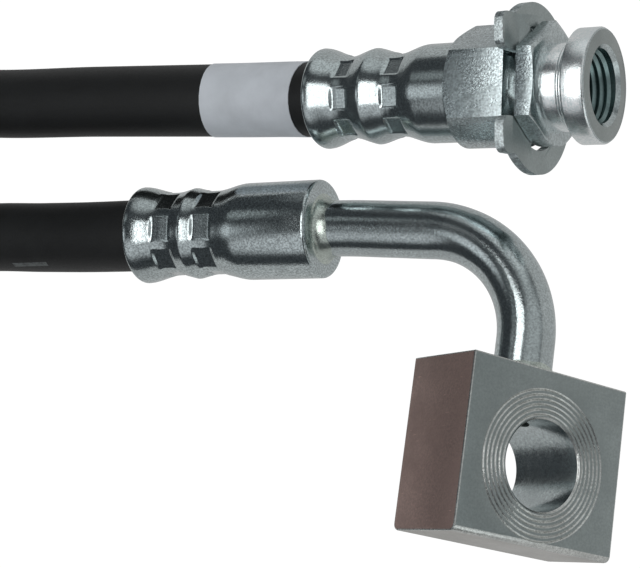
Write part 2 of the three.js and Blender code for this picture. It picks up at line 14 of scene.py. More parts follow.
import bmesh
import bpy
from mathutils import Euler, Matrix, Vector

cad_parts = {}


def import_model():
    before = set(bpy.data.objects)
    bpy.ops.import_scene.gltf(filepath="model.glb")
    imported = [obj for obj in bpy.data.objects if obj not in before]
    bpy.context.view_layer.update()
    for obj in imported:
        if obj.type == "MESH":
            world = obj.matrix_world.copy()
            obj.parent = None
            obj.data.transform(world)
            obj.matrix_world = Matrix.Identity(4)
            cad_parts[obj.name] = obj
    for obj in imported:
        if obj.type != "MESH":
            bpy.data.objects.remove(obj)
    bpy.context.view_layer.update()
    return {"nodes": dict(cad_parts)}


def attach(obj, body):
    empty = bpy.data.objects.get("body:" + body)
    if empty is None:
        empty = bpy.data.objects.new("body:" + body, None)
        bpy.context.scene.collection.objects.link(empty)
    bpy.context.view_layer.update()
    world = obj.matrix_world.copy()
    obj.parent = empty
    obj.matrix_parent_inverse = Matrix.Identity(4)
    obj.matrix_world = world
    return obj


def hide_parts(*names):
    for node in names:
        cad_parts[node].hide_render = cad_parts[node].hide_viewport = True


log = logging.getLogger("brake_line")

MM = 0.001
# Steps round a large and a small turned piece
ROUND_SIDES = 288
SMALL_SIDES = 96
# Room between a piece and the seat or groove that holds it
SEAT_GAP = 0.3 * MM
# Points nearer than this are one point
WELD = 1e-7
# How nearly a face looks, or an edge runs, along an axis of its piece
FACING = 0.97
ALONG = 0.99
# Largest turn between faces that a crimped piece shades smooth, in degrees
CRIMP_SHADE = 42.0
# Mouths of the two skirts, along their own axes
PORT_MOUTH = -41.5 * MM
ELBOW_MOUTH = -28.9 * MM
AXIS = Vector((1.0, 0.0, 0.0))
Profile = list[tuple[float, float]]


class Slot(str, Enum):
    """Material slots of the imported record."""

    HOSE = "hose_rubber"
    LABEL = "label_film"
    FITTING = "zinc_fitting"
    SHELL = "zinc_shell"
    TUBE = "zinc_tube"
    BLOCK = "zinc_block"
    CLIP = "clip_steel"
    BRAZE = "braze"


class Look(Enum):
    """Finishes of the metal, by how each surface was made; the block's sides, foot and edges, the nose face,
    the neck and the port's inside also carry painted light or shade in their colour.
    """

    TURNED = "zinc_turned"
    DRAWN = "zinc_drawn"
    SHELL = "zinc_shell"
    TUBE = "zinc_tube"
    BLOCK = "zinc_block"
    # Brown of the block's sides: a painted reflection of a warm surrounding
    SAWN = "block_side"
    # Lighter edges and groove slopes of the block: painted highlight
    WORN = "block_edge"
    # Lighter foot of the block: a painted reflection of the pale floor
    MILLED = "block_foot"
    BORED = "bolt_bore"
    # Darker nose face: painted shade, a dimmer reflection put into its colour
    FACED = "nose_face"
    # Brighter neck and nose: painted highlight in place of a light; the turning marks on it are real
    BRIGHT = "neck_bright"
    STAMPED = "clip_face"
    SHEARED = "clip_edge"
    # Darker inside of the port, its thread and the nipples: painted shade of the recess
    INNER = "inner_steel"
    BRAZE = "braze_metal"


class Boolean(str, Enum):
    """How one piece cuts another."""

    CUT = "DIFFERENCE"
    COMMON = "INTERSECT"
    JOIN = "UNION"


@dataclass(frozen=True)
class Placement:
    """Where a metal end lies: its own X axis runs out of the hose.

    Args:
        origin: the middle of the end's outer face.
        roll: turn about X, in degrees.
        pitch: turn about Y, in degrees.
        yaw: turn about Z, in degrees.
    """

    origin: tuple[float, float, float]
    roll: float
    pitch: float
    yaw: float

    def euler(self) -> Euler:
        """The turn as Euler angles."""
        return Euler([math.radians(a) for a in (self.roll, self.pitch, self.yaw)], "XYZ")

    def matrix(self) -> Matrix:
        """The placement as a matrix from the end's own frame to the model's."""
        return Matrix.Translation(self.origin) @ self.euler().to_matrix().to_4x4()


PORT_PLACE = Placement((34.616 * MM, 24.953 * MM, 12.416 * MM), 0.0, -7.457, -2.25)
ELBOW_PLACE = Placement((-6.554 * MM, 8.353 * MM, 7.673 * MM), -14.4, -1.099, 0.0)


def select_only(*pieces: bpy.types.Object) -> None:
    """Selects these objects alone, the last one active."""
    bpy.ops.object.select_all(action="DESELECT")
    for piece in pieces:
        piece.select_set(True)
        bpy.context.view_layer.objects.active = piece


@contextmanager
def editing(piece: bpy.types.Object) -> Iterator[bmesh.types.BMesh]:
    """Opens a piece in edit mode with all of it selected.

    Args:
        piece: the mesh object to shape.

    Returns:
        The mesh that the operators work on.
    """
    select_only(piece)
    bpy.ops.object.mode_set(mode="EDIT")
    bpy.ops.mesh.select_all(action="SELECT")
    yield bmesh.from_edit_mesh(piece.data)
    bpy.ops.object.mode_set(mode="OBJECT")


def named(name: str) -> bpy.types.Object:
    """Names the object that an operator has just added.

    Args:
        name: its name.

    Returns:
        The object.
    """
    piece = bpy.context.object
    piece.name = piece.data.name = name
    return piece


def close_up() -> None:
    """Merges the doubles of the open mesh and turns its faces outwards."""
    bpy.ops.mesh.select_all(action="SELECT")
    bpy.ops.mesh.remove_doubles(threshold=WELD)
    bpy.ops.mesh.normals_make_consistent(inside=False)


def spun(name: str, profile: Profile, sides: int = ROUND_SIDES, ring: bool = True) -> bpy.types.Object:
    """Turned piece about the X axis.

    Args:
        name: the object's name.
        profile: (x, radius) points, from the first to the last.
        sides: steps round the axis.
        ring: joins the last point to the first; otherwise both end on the axis.

    Returns:
        A closed mesh object.
    """
    loop = [Vector((x, 0.0, r)) for x, r in profile]
    if ring:
        loop.append(loop[0])
    bpy.ops.mesh.primitive_plane_add(size=MM)
    piece = named(name)
    with editing(piece):
        bpy.ops.mesh.merge(type="CENTER")
        bpy.ops.transform.translate(value=loop[0])
        for here, there in zip(loop, loop[1:]):
            bpy.ops.mesh.extrude_region_move(TRANSFORM_OT_translate={"value": there - here})
        bpy.ops.mesh.select_all(action="SELECT")
        bpy.ops.mesh.remove_doubles(threshold=WELD)
        bpy.ops.mesh.spin(steps=sides, angle=2 * math.pi, center=(0, 0, 0), axis=AXIS)
        close_up()
    return piece


def rod(name: str, x0: float, x1: float, radius: float, sides: int = SMALL_SIDES) -> bpy.types.Object:
    """Round rod about the X axis.

    Args:
        name: the object's name.
        x0: place of its first end.
        x1: place of its other end.
        radius: its radius.
        sides: steps round it.

    Returns:
        A closed mesh object.
    """
    bpy.ops.mesh.primitive_cylinder_add(
        vertices=sides,
        radius=radius,
        depth=x1 - x0,
        location=((x0 + x1) / 2, 0, 0),
        rotation=(0, math.pi / 2, 0),
    )
    piece = named(name)
    settle(piece)
    return piece


def box(name: str, low: Sequence[float], high: Sequence[float]) -> bpy.types.Object:
    """Box between two corners.

    Args:
        name: the object's name.
        low: its lowest corner.
        high: its highest corner.

    Returns:
        A closed mesh object.
    """
    low, high = Vector(low), Vector(high)
    bpy.ops.mesh.primitive_cube_add(size=1, location=(low + high) / 2, scale=high - low)
    piece = named(name)
    settle(piece)
    return piece


def settle(piece: bpy.types.Object) -> None:
    """Puts a piece's place into its mesh, so that its object stands at the origin, unturned."""
    select_only(piece)
    bpy.ops.object.transform_apply(location=True, rotation=True, scale=True)


def place(piece: bpy.types.Object, matrix: Matrix) -> bpy.types.Object:
    """Moves a piece into the model's frame and settles it there.

    Args:
        piece: the mesh object.
        matrix: its place there.

    Returns:
        The piece.
    """
    piece.matrix_world = matrix
    settle(piece)
    return piece


def carve(piece: bpy.types.Object, tool: bpy.types.Object, how: Boolean) -> None:
    """Cuts or joins a piece with a tool, which is used up.

    Args:
        piece: the mesh object to change.
        tool: the closed mesh object to change it with.
        how: what the tool does.
    """
    select_only(piece)
    bpy.ops.object.modifier_add(type="BOOLEAN")
    modifier = piece.modifiers[-1]
    modifier.operation = how.value
    modifier.solver = "EXACT"
    modifier.object = tool
    bpy.ops.object.modifier_apply(modifier=modifier.name)
    bpy.data.objects.remove(tool)


def fuse(name: str, *pieces: bpy.types.Object) -> bpy.types.Object:
    """Makes several closed meshes one object.

    Args:
        name: the object's name.
        pieces: the meshes, joined into the first.

    Returns:
        The one object.
    """
    select_only(*reversed(pieces))
    bpy.ops.object.join()
    return named(name)


def soften(piece: bpy.types.Object, width: float, angle: float = 40.0, segments: int = 2) -> None:
    """Breaks a piece's sharp edges.

    Args:
        piece: the mesh object.
        width: width of the broken edge.
        angle: edges that turn more than this, in degrees, are broken.
        segments: faces across the edge.
    """
    select_only(piece)
    bpy.ops.object.modifier_add(type="BEVEL")
    modifier = piece.modifiers[-1]
    modifier.width = width
    modifier.segments = segments
    modifier.limit_method = "ANGLE"
    modifier.angle_limit = math.radians(angle)
    modifier.miter_outer = "MITER_ARC"
    bpy.ops.object.modifier_apply(modifier=modifier.name)


def shade(piece: bpy.types.Object, angle: float = 32.0) -> None:
    """Shades a piece smooth.

    Args:
        piece: the mesh object.
        angle: edges that turn more than this, in degrees, stay sharp.
    """
    select_only(piece)
    bpy.ops.object.shade_smooth_by_angle(angle=math.radians(angle))


def rounded(x: float, radius: float, edge: float, rises: bool, steps: int = 5) -> Profile:
    """Quarter-round corner of a profile, ending at (x, radius) both ways.

    Args:
        x: the face that the corner meets.
        radius: the cylinder that the corner meets.
        edge: the corner's own radius; it lies on the side of the face that its sign gives.
        rises: from the face to the cylinder, or the other way.
        steps: points along the corner.

    Returns:
        Points of the corner.
    """
    points = []
    for i in range(steps + 1):
        angle = math.pi / 2 * i / steps
        points.append((x + edge * (1 - math.cos(angle)), radius - abs(edge) * (1 - math.sin(angle))))
    return points if rises else points[::-1]


def eased(share: float) -> float:
    """Share from 0 to 1 that starts and ends level."""
    return (1 - math.cos(math.pi * share)) / 2


def centripetal(points: Sequence[Vector], per_span: int) -> list[Vector]:
    """Smooth line through points, with no loops or overshoots.

    Args:
        points: the points that the line passes through.
        per_span: line pieces between two points.

    Returns:
        Points along the line.
    """
    ends = [2 * points[0] - points[1], *points, 2 * points[-1] - points[-2]]
    line = [points[0].copy()]
    for p0, p1, p2, p3 in zip(ends, ends[1:], ends[2:], ends[3:]):
        d0, d1, d2 = (math.sqrt((b - a).length) for a, b in ((p0, p1), (p1, p2), (p2, p3)))
        leave = ((p1 - p0) / d0 - (p2 - p0) / (d0 + d1) + (p2 - p1) / d1) * d1
        arrive = ((p2 - p1) / d1 - (p3 - p1) / (d1 + d2) + (p3 - p2) / d2) * d1
        for i in range(1, per_span + 1):
            t = i / per_span
            hermite = (2 * t**3 - 3 * t**2 + 1, t**3 - 2 * t**2 + t, 3 * t**2 - 2 * t**3, t**3 - t**2)
            line.append(hermite[0] * p1 + hermite[1] * leave + hermite[2] * p2 + hermite[3] * arrive)
    return line


# Scales of the noise in the materials, in cells for each metre
CRYSTAL_SCALE = 4200.0
WAVE_SCALE = 900.0
PATCH_SCALE = 150.0
SPECK_SCALE = 3600.0
RING_SCALE = 4200.0
SKIN_SCALE = 3800.0
BLOOM_SCALE = 70.0
INK_WEAR_SCALE = 1500.0
WRINKLE_SCALE = 260.0
SAG_SCALE = 60.0


class Nodes:
    """Short ways to place and link nodes in one tree."""

    def __init__(self, tree: bpy.types.NodeTree) -> None:
        """Empties the tree and works in it."""
        self.tree = tree
        tree.nodes.clear()

    def add(
        self, kind: str, inputs: dict[str | int, object] | None = None, **settings: object
    ) -> bpy.types.Node:
        """Adds a node.

        Args:
            kind: the node's type name, without its ShaderNode prefix where it has that one.
            inputs: values or sockets for its inputs.
            settings: the node's own properties.

        Returns:
            The node.
        """
        name = kind if kind.startswith("NodeGroup") else "ShaderNode" + kind
        node = self.tree.nodes.new(name)
        for key, value in settings.items():
            setattr(node, key, value)
        for key, value in (inputs or {}).items():
            if isinstance(value, bpy.types.NodeSocket):
                self.tree.links.new(value, node.inputs[key])
            else:
                node.inputs[key].default_value = value
        return node

    def math(self, operation: str, a: object, b: object) -> bpy.types.NodeSocket:
        """Result of a Math node on two values or sockets."""
        return self.add("Math", {0: a, 1: b}, operation=operation).outputs[0]

    def spread(self, value: bpy.types.NodeSocket, low: float, high: float, to_low: float = 0.0,
               to_high: float = 1.0) -> bpy.types.NodeSocket:
        """Maps a value from one range to another, and stays within it."""
        names = {"Value": value, "From Min": low, "From Max": high, "To Min": to_low, "To Max": to_high}
        return self.add("MapRange", names).outputs["Result"]

    def blend(self, share: object, a: object, b: object, blend_type: str = "MIX") -> bpy.types.NodeSocket:
        """Colour between two colours.

        Args:
            share: 0 for the first colour, 1 for the second.
            a: the first colour.
            b: the second colour.
            blend_type: how the second goes over the first.

        Returns:
            The colour's socket.
        """
        node = self.add("Mix", data_type="RGBA", blend_type=blend_type)
        for socket, value in zip((node.inputs[0], node.inputs[6], node.inputs[7]), (share, a, b)):
            if isinstance(value, bpy.types.NodeSocket):
                self.tree.links.new(value, socket)
            else:
                socket.default_value = value
        return node.outputs[2]

    def noise(self, vector: bpy.types.NodeSocket, scale: float, detail: float = 3.0,
              roughness: float = 0.5) -> bpy.types.NodeSocket:
        """Noise value at a place."""
        inputs = {"Vector": vector, "Scale": scale, "Detail": detail, "Roughness": roughness}
        return self.add("TexNoise", inputs).outputs["Fac"]

    def group(self, tree: bpy.types.NodeTree, **inputs: object) -> bpy.types.Node:
        """Places a node group with its own values.

        Args:
            tree: the group.
            inputs: values or sockets for its inputs, by name.

        Returns:
            The node.
        """
        node = self.add("Group", node_tree=tree)
        for key, value in inputs.items():
            socket = node.inputs[key]
            if isinstance(value, bpy.types.NodeSocket):
                self.tree.links.new(value, socket)
            else:
                socket.default_value = value
        return node


def effect(
    name: str, inputs: dict[str, object], outputs: dict[str, str]
) -> tuple[Nodes, bpy.types.Node, bpy.types.Node]:
    """Starts a node group.

    Args:
        name: the group's name.
        inputs: names and default values; None stands for a vector.
        outputs: names and kinds of socket.

    Returns:
        The nodes, the group's input node and its output node.
    """
    tree = bpy.data.node_groups.new(name, "ShaderNodeTree")
    for key, value in inputs.items():
        kind = "NodeSocketVector" if value is None else "NodeSocketFloat"
        socket = tree.interface.new_socket(key, in_out="INPUT", socket_type=kind)
        if value is not None:
            socket.default_value = value
    for key, kind in outputs.items():
        tree.interface.new_socket(key, in_out="OUTPUT", socket_type=kind)
    nodes = Nodes(tree)
    return nodes, nodes.add("NodeGroupInput"), nodes.add("NodeGroupOutput")


def end_group(nodes: Nodes, target: bpy.types.Node, **sockets: bpy.types.NodeSocket) -> bpy.types.NodeTree:
    """Links a group's results to its output.

    Args:
        nodes: the group's nodes.
        target: its output node.
        sockets: results by name.

    Returns:
        The group.
    """
    for key, socket in sockets.items():
        nodes.tree.links.new(socket, target.inputs[key])
    return nodes.tree


def plating_group() -> bpy.types.NodeTree:
    """Zinc plating: fine crystals over soft waves, dull patches and small dark and bright specks.

    Returns:
        The group, from a place to a height, a dullness and specks.
    """
    nodes, given, out = effect(
        "plating",
        {"Place": None, "Grain": 1.0, "Waves": 1.0, "Patches": 1.0},
        {"Height": "NodeSocketFloat", "Dull": "NodeSocketFloat", "Specks": "NodeSocketFloat"},
    )
    here = given.outputs["Place"]
    fine = nodes.math("MULTIPLY", nodes.noise(here, CRYSTAL_SCALE, 2.0, 0.6), given.outputs["Grain"])
    waves = nodes.math("MULTIPLY", nodes.noise(here, WAVE_SCALE, 2.0, 0.5), given.outputs["Waves"])
    cloud = nodes.spread(nodes.noise(here, PATCH_SCALE, 4.0, 0.6), 0.38, 0.68)
    dull = nodes.math("MULTIPLY", cloud, given.outputs["Patches"])
    specks = nodes.noise(here, SPECK_SCALE, 2.0, 0.55)
    return end_group(nodes, out, Height=nodes.math("ADD", fine, waves), Dull=dull, Specks=specks)


def turning_group() -> bpy.types.NodeTree:
    """Fine rings that a lathe leaves round the local X axis.

    Returns:
        The group, from a place to a height.
    """
    nodes, given, out = effect(
        "turning_marks", {"Place": None, "Depth": 1.0}, {"Height": "NodeSocketFloat"}
    )
    stretch = nodes.add("Mapping", {"Vector": given.outputs["Place"], "Scale": (1.0, 0.02, 0.02)})
    rings = nodes.noise(stretch.outputs[0], RING_SCALE, 3.0, 0.6)
    return end_group(nodes, out, Height=nodes.math("MULTIPLY", rings, given.outputs["Depth"]))


@dataclass(frozen=True)
class Finish:
    """Base of all finishes.

    Args:
        name: the material's name.
        colour: base colour, linear.
        roughness: mean roughness.
    """

    name: str
    colour: tuple[float, float, float]
    roughness: float

    def shade_of(self, share: float) -> tuple[float, float, float, float]:
        """The base colour made darker or lighter by a share, never over white."""
        return *(min(1.0, share * c) for c in self.colour), 1.0

    def start(self) -> tuple[bpy.types.Material, Nodes, bpy.types.Node]:
        """Makes the material with its shader and output.

        Returns:
            The material, its nodes and its shader.
        """
        material = bpy.data.materials.new(self.name)
        material.use_nodes = True
        nodes = Nodes(material.node_tree)
        shader = nodes.add("BsdfPrincipled", {"Base Color": (*self.colour, 1.0), "Roughness": self.roughness})
        nodes.add("OutputMaterial", {"Surface": shader.outputs[0]})
        return material, nodes, shader


@dataclass(frozen=True)
class PlatedFinish(Finish):
    """Zinc plated steel.

    Args:
        place: the end whose axis the turning marks follow.
        grain: depth of the crystals.
        waves: depth of the soft waves.
        patches: share of dull patches.
        turning: depth of the turning marks.
        specks: how far the specks are from the mean colour, as a share of it.
        scratches: strength of thin bright scratches.
    """

    place: Placement = PORT_PLACE
    grain: float = 1.0
    waves: float = 1.0
    patches: float = 0.6
    turning: float = 0.0
    specks: float = 0.25
    scratches: float = 0.0

    def material(self, plating: bpy.types.NodeTree, turning: bpy.types.NodeTree) -> bpy.types.Material:
        """Builds the material from the shared groups.

        Args:
            plating: the group of the zinc's own pattern.
            turning: the group of the lathe's rings.

        Returns:
            The material.
        """
        material, nodes, shader = self.start()
        where = nodes.add("TexCoord").outputs["Object"]
        local = nodes.add("Mapping", {"Vector": where}, vector_type="TEXTURE")
        local.inputs["Location"].default_value = self.place.origin
        local.inputs["Rotation"].default_value = self.place.euler()
        there = local.outputs[0]
        crystals = nodes.group(plating, Place=there, Grain=self.grain, Waves=self.waves, Patches=self.patches)
        rings = nodes.group(turning, Place=there, Depth=self.turning)
        height = nodes.math("ADD", crystals.outputs["Height"], rings.outputs["Height"])
        bump = nodes.add("Bump", {"Height": height, "Strength": 1.0, "Distance": 0.01 * MM})
        share = nodes.spread(crystals.outputs["Specks"], 0.34, 0.66)
        colour = nodes.blend(share, self.shade_of(1 - self.specks), self.shade_of(1 + self.specks))
        colour = nodes.blend(crystals.outputs["Dull"], colour, self.shade_of(0.8))
        if self.scratches > 0:
            colour = nodes.blend(self.scratch_mask(nodes, there), colour, self.shade_of(1.7))
        rough = nodes.spread(crystals.outputs["Dull"], 0.0, 1.0, self.roughness, self.roughness + 0.1)
        links = nodes.tree.links
        links.new(colour, shader.inputs["Base Color"])
        links.new(rough, shader.inputs["Roughness"])
        links.new(bump.outputs[0], shader.inputs["Normal"])
        shader.inputs["Metallic"].default_value = 1.0
        return material

    def scratch_mask(self, nodes: Nodes, there: bpy.types.NodeSocket) -> bpy.types.NodeSocket:
        """Mask of a few short thin scratches.

        Args:
            nodes: the material's nodes.
            there: place in the end's own frame.

        Returns:
            The mask's socket.
        """
        lie = {"Vector": there, "Rotation": (0.5, 0.2, 0.9), "Scale": (250.0, 3000.0, 700.0)}
        streaks = nodes.noise(nodes.add("Mapping", lie).outputs[0], 1.0, 2.0, 0.5)
        return nodes.spread(streaks, 0.71, 0.76, 0.0, self.scratches)


@dataclass(frozen=True)
class RubberFinish(Finish):
    """Extruded hose cover with fine lines along it and a printed dash.

    Args:
        lines: number of fine lines round the hose.
        changes: how often the lines change along the hose.
        ink: colour of the dash.
        dash_middle: place of the dash's middle.
        dash_half: half its size along X and Y, and how far it goes down the side.
    """

    lines: float = 90.0
    changes: float = 14.0
    ink: tuple[float, float, float] = (0.13, 0.145, 0.145)
    dash_middle: tuple[float, float, float] = (-54.6 * MM, 4.5 * MM, 8.7 * MM)
    dash_half: tuple[float, float, float] = (3.2 * MM, 0.26 * MM, 2.0 * MM)

    def material(self) -> bpy.types.Material:
        """Builds the material on the hose's own UV map: X round it and Y along it.

        Returns:
            The material.
        """
        material, nodes, shader = self.start()
        run = nodes.add("UVMap", uv_map="UVMap").outputs[0]
        long = nodes.add("Mapping", {"Vector": run, "Scale": (self.lines, self.changes, 1.0)})
        ribs = nodes.noise(long.outputs[0], 1.0, 3.0, 0.65)
        where = nodes.add("TexCoord").outputs["Object"]
        skin = nodes.noise(where, SKIN_SCALE, 3.0, 0.6)
        bloom = nodes.spread(nodes.noise(where, BLOOM_SCALE, 4.0, 0.6), 0.42, 0.75)
        grey = tuple(1.7 * c + 0.003 for c in self.colour)
        colour = nodes.blend(nodes.math("MULTIPLY", bloom, 0.5), self.shade_of(1.0), (*grey, 1.0))
        colour = nodes.blend(nodes.spread(ribs, 0.45, 0.75, 0.0, 0.7), colour, self.shade_of(0.5))
        colour = nodes.blend(self.dash(nodes, where), colour, (*self.ink, 1.0))
        height = nodes.math("ADD", ribs, nodes.math("MULTIPLY", skin, 0.25))
        bump = nodes.add("Bump", {"Height": height, "Strength": 0.5, "Distance": 0.05 * MM})
        rough = nodes.spread(skin, 0.2, 0.8, self.roughness - 0.06, self.roughness + 0.1)
        links = nodes.tree.links
        links.new(colour, shader.inputs["Base Color"])
        links.new(rough, shader.inputs["Roughness"])
        links.new(bump.outputs[0], shader.inputs["Normal"])
        return material

    def dash(self, nodes: Nodes, where: bpy.types.NodeSocket) -> bpy.types.NodeSocket:
        """Mask of the printed dash, worn thin in places.

        Args:
            nodes: the material's nodes.
            where: place in the model's frame.

        Returns:
            The mask's socket.
        """
        parts = nodes.add("SeparateXYZ", {0: where}).outputs
        mask = nodes.spread(nodes.noise(where, INK_WEAR_SCALE, 3.0, 0.6), 0.35, 0.55, 0.35, 0.9)
        for part, middle, half in zip(parts, self.dash_middle, self.dash_half):
            within = nodes.add("Math", {0: part, 1: middle, 2: half}, operation="COMPARE").outputs[0]
            mask = nodes.math("MULTIPLY", mask, within)
        return mask


@dataclass(frozen=True)
class FilmFinish(Finish):
    """Thin wrapped film with faint wrinkles."""

    def material(self) -> bpy.types.Material:
        """Builds the material.

        Returns:
            The material.
        """
        material, nodes, shader = self.start()
        where = nodes.add("TexCoord").outputs["Object"]
        folds = nodes.noise(where, WRINKLE_SCALE, 4.0, 0.55)
        soft = nodes.noise(where, SAG_SCALE, 3.0, 0.5)
        share = nodes.spread(nodes.math("MULTIPLY", folds, soft), 0.18, 0.4)
        colour = nodes.blend(share, self.shade_of(1.0), self.shade_of(0.86))
        bump = nodes.add("Bump", {"Height": folds, "Strength": 0.35, "Distance": 0.1 * MM})
        nodes.tree.links.new(colour, shader.inputs["Base Color"])
        nodes.tree.links.new(bump.outputs[0], shader.inputs["Normal"])
        return material


@dataclass(frozen=True)
class Crimp:
    """Two rings that a set of jaws presses into a skirt and the hose in it, with a flat from each jaw.

    Args:
        radius: the skirt's outer radius before it is pressed.
        depth: how far a flat's middle is pressed in.
        ring_depth: how far a ring is pressed in all round.
        reach: half the length of a ring along the skirt.
        pitch: from the first ring to the second.
        turn: turn of the jaws about the axis, in degrees.
        mouth: place of the skirt's mouth.
        flare: how much wider the skirt is at its lip.
        from_mouth: place of the first ring behind the mouth.
        flat_length: length of a flat along the skirt.
        flat_shift: how far the flats lie from their rings, away from the mouth.
        flat_angle: angle that a flat takes up, in degrees.
        side_angle: angle over which a flat's side rises to the ring, in degrees.
        flat_end: length over which a flat's end rises to the ring.
        land: length of a ring's level middle.
        jaws: flats round the skirt.
        lip_length: length of the lip in front of the flare.
        lip_rounding: rounding of the lip's edge.
        row: distance between rows of points along the skirt.
    """

    radius: float
    depth: float
    ring_depth: float
    reach: float
    pitch: float
    turn: float
    mouth: float
    flare: float
    from_mouth: float
    flat_length: float
    flat_shift: float
    flat_angle: float = 27.0
    side_angle: float = 2.5
    flat_end: float = 0.36 * MM
    land: float = 0.7 * MM
    jaws: int = 8
    lip_length: float = 0.7 * MM
    lip_rounding: float = 0.45 * MM
    row: float = 0.2 * MM

    def centres(self) -> tuple[float, float]:
        """Places of the two rings."""
        first = self.mouth + self.from_mouth
        return first, first + self.pitch

    def end(self) -> float:
        """Place where the last ring has run out."""
        return self.centres()[1] + self.reach

    def share(self, x: float, level: float, reach: float) -> float:
        """Share of a full dent at a place along the skirt.

        Args:
            x: the place.
            level: length of the dent's level middle.
            reach: distance from a ring's middle at which the dent has run out.

        Returns:
            1 on the level middle, falling to 0.
        """
        off = min(abs(x - centre) for centre in self.centres())
        return 1 - eased(min(max((off - level / 2) / (reach - level / 2), 0.0), 1.0))

    def inward(self, x: float, angle: float) -> float:
        """How far a point of the skirt moves towards the axis.

        Args:
            x: place along the skirt.
            angle: direction round the axis, in radians from a flat's middle.

        Returns:
            The distance.
        """
        sector = 2 * math.pi / self.jaws
        from_flat = abs(angle / sector - round(angle / sector)) * sector
        ring = self.ring_depth * self.share(x, self.land, self.reach)
        flat = self.radius - (self.radius - self.depth) / math.cos(from_flat)
        beyond = (math.degrees(from_flat) - self.flat_angle / 2) / self.side_angle
        across = 1 - eased(min(max(beyond, 0.0), 1.0))
        along = self.share(x - self.flat_shift, self.flat_length, self.flat_length / 2 + self.flat_end)
        return max(ring, ring + (flat - ring) * across * along)

    def outer(self, x: float) -> float:
        """Outer radius before the pressing, with the flare at the mouth.

        Args:
            x: place along the skirt.

        Returns:
            The radius.
        """
        start = self.centres()[0]
        lip = self.mouth + self.lip_length
        return self.radius + self.flare * min(max((start - x) / (start - lip), 0.0), 1.0)

    def outside(self) -> Profile:
        """Profile of the skirt's outside from its mouth to the end of the dents.

        Returns:
            Points of the profile.
        """
        lip = self.mouth + self.lip_length
        rounding = self.lip_rounding
        rows = int((self.end() - lip) / self.row)
        points = rounded(self.mouth, self.outer(lip), rounding, True)
        points += [(lip + i * self.row, self.outer(lip + i * self.row)) for i in range(1, rows + 1)]
        return points

    def inside(self, cavity: float, floor: float, mouth_play: float = 0.3 * MM) -> Profile:
        """Profile of the skirt's hollow from its floor to its mouth.

        Args:
            cavity: radius of the hollow.
            floor: place of its floor.
            mouth_play: how much wider it is at the mouth.

        Returns:
            Points of the profile.
        """
        lip = self.mouth + self.lip_length
        rows = int((floor - self.mouth - self.lip_length) / (4 * self.row))
        points = [(floor - i * 4 * self.row, cavity) for i in range(rows)]
        return points + [(lip, cavity + mouth_play), (self.mouth, cavity + mouth_play)]

    def press(self, piece: bpy.types.Object, core: float) -> None:
        """Presses the dents into a turned piece.

        Args:
            piece: the turned mesh object, about the X axis.
            core: points nearer to the axis than this stay where they are.
        """
        for vertex in piece.data.vertices:
            x, y, z = vertex.co
            radius = math.hypot(y, z)
            if radius > core and self.mouth <= x <= self.end():
                scale = 1 - self.inward(x, math.atan2(z, y)) / radius
                vertex.co = (x, y * scale, z * scale)
        piece.rotation_euler = (math.radians(self.turn), 0, 0)
        settle(piece)


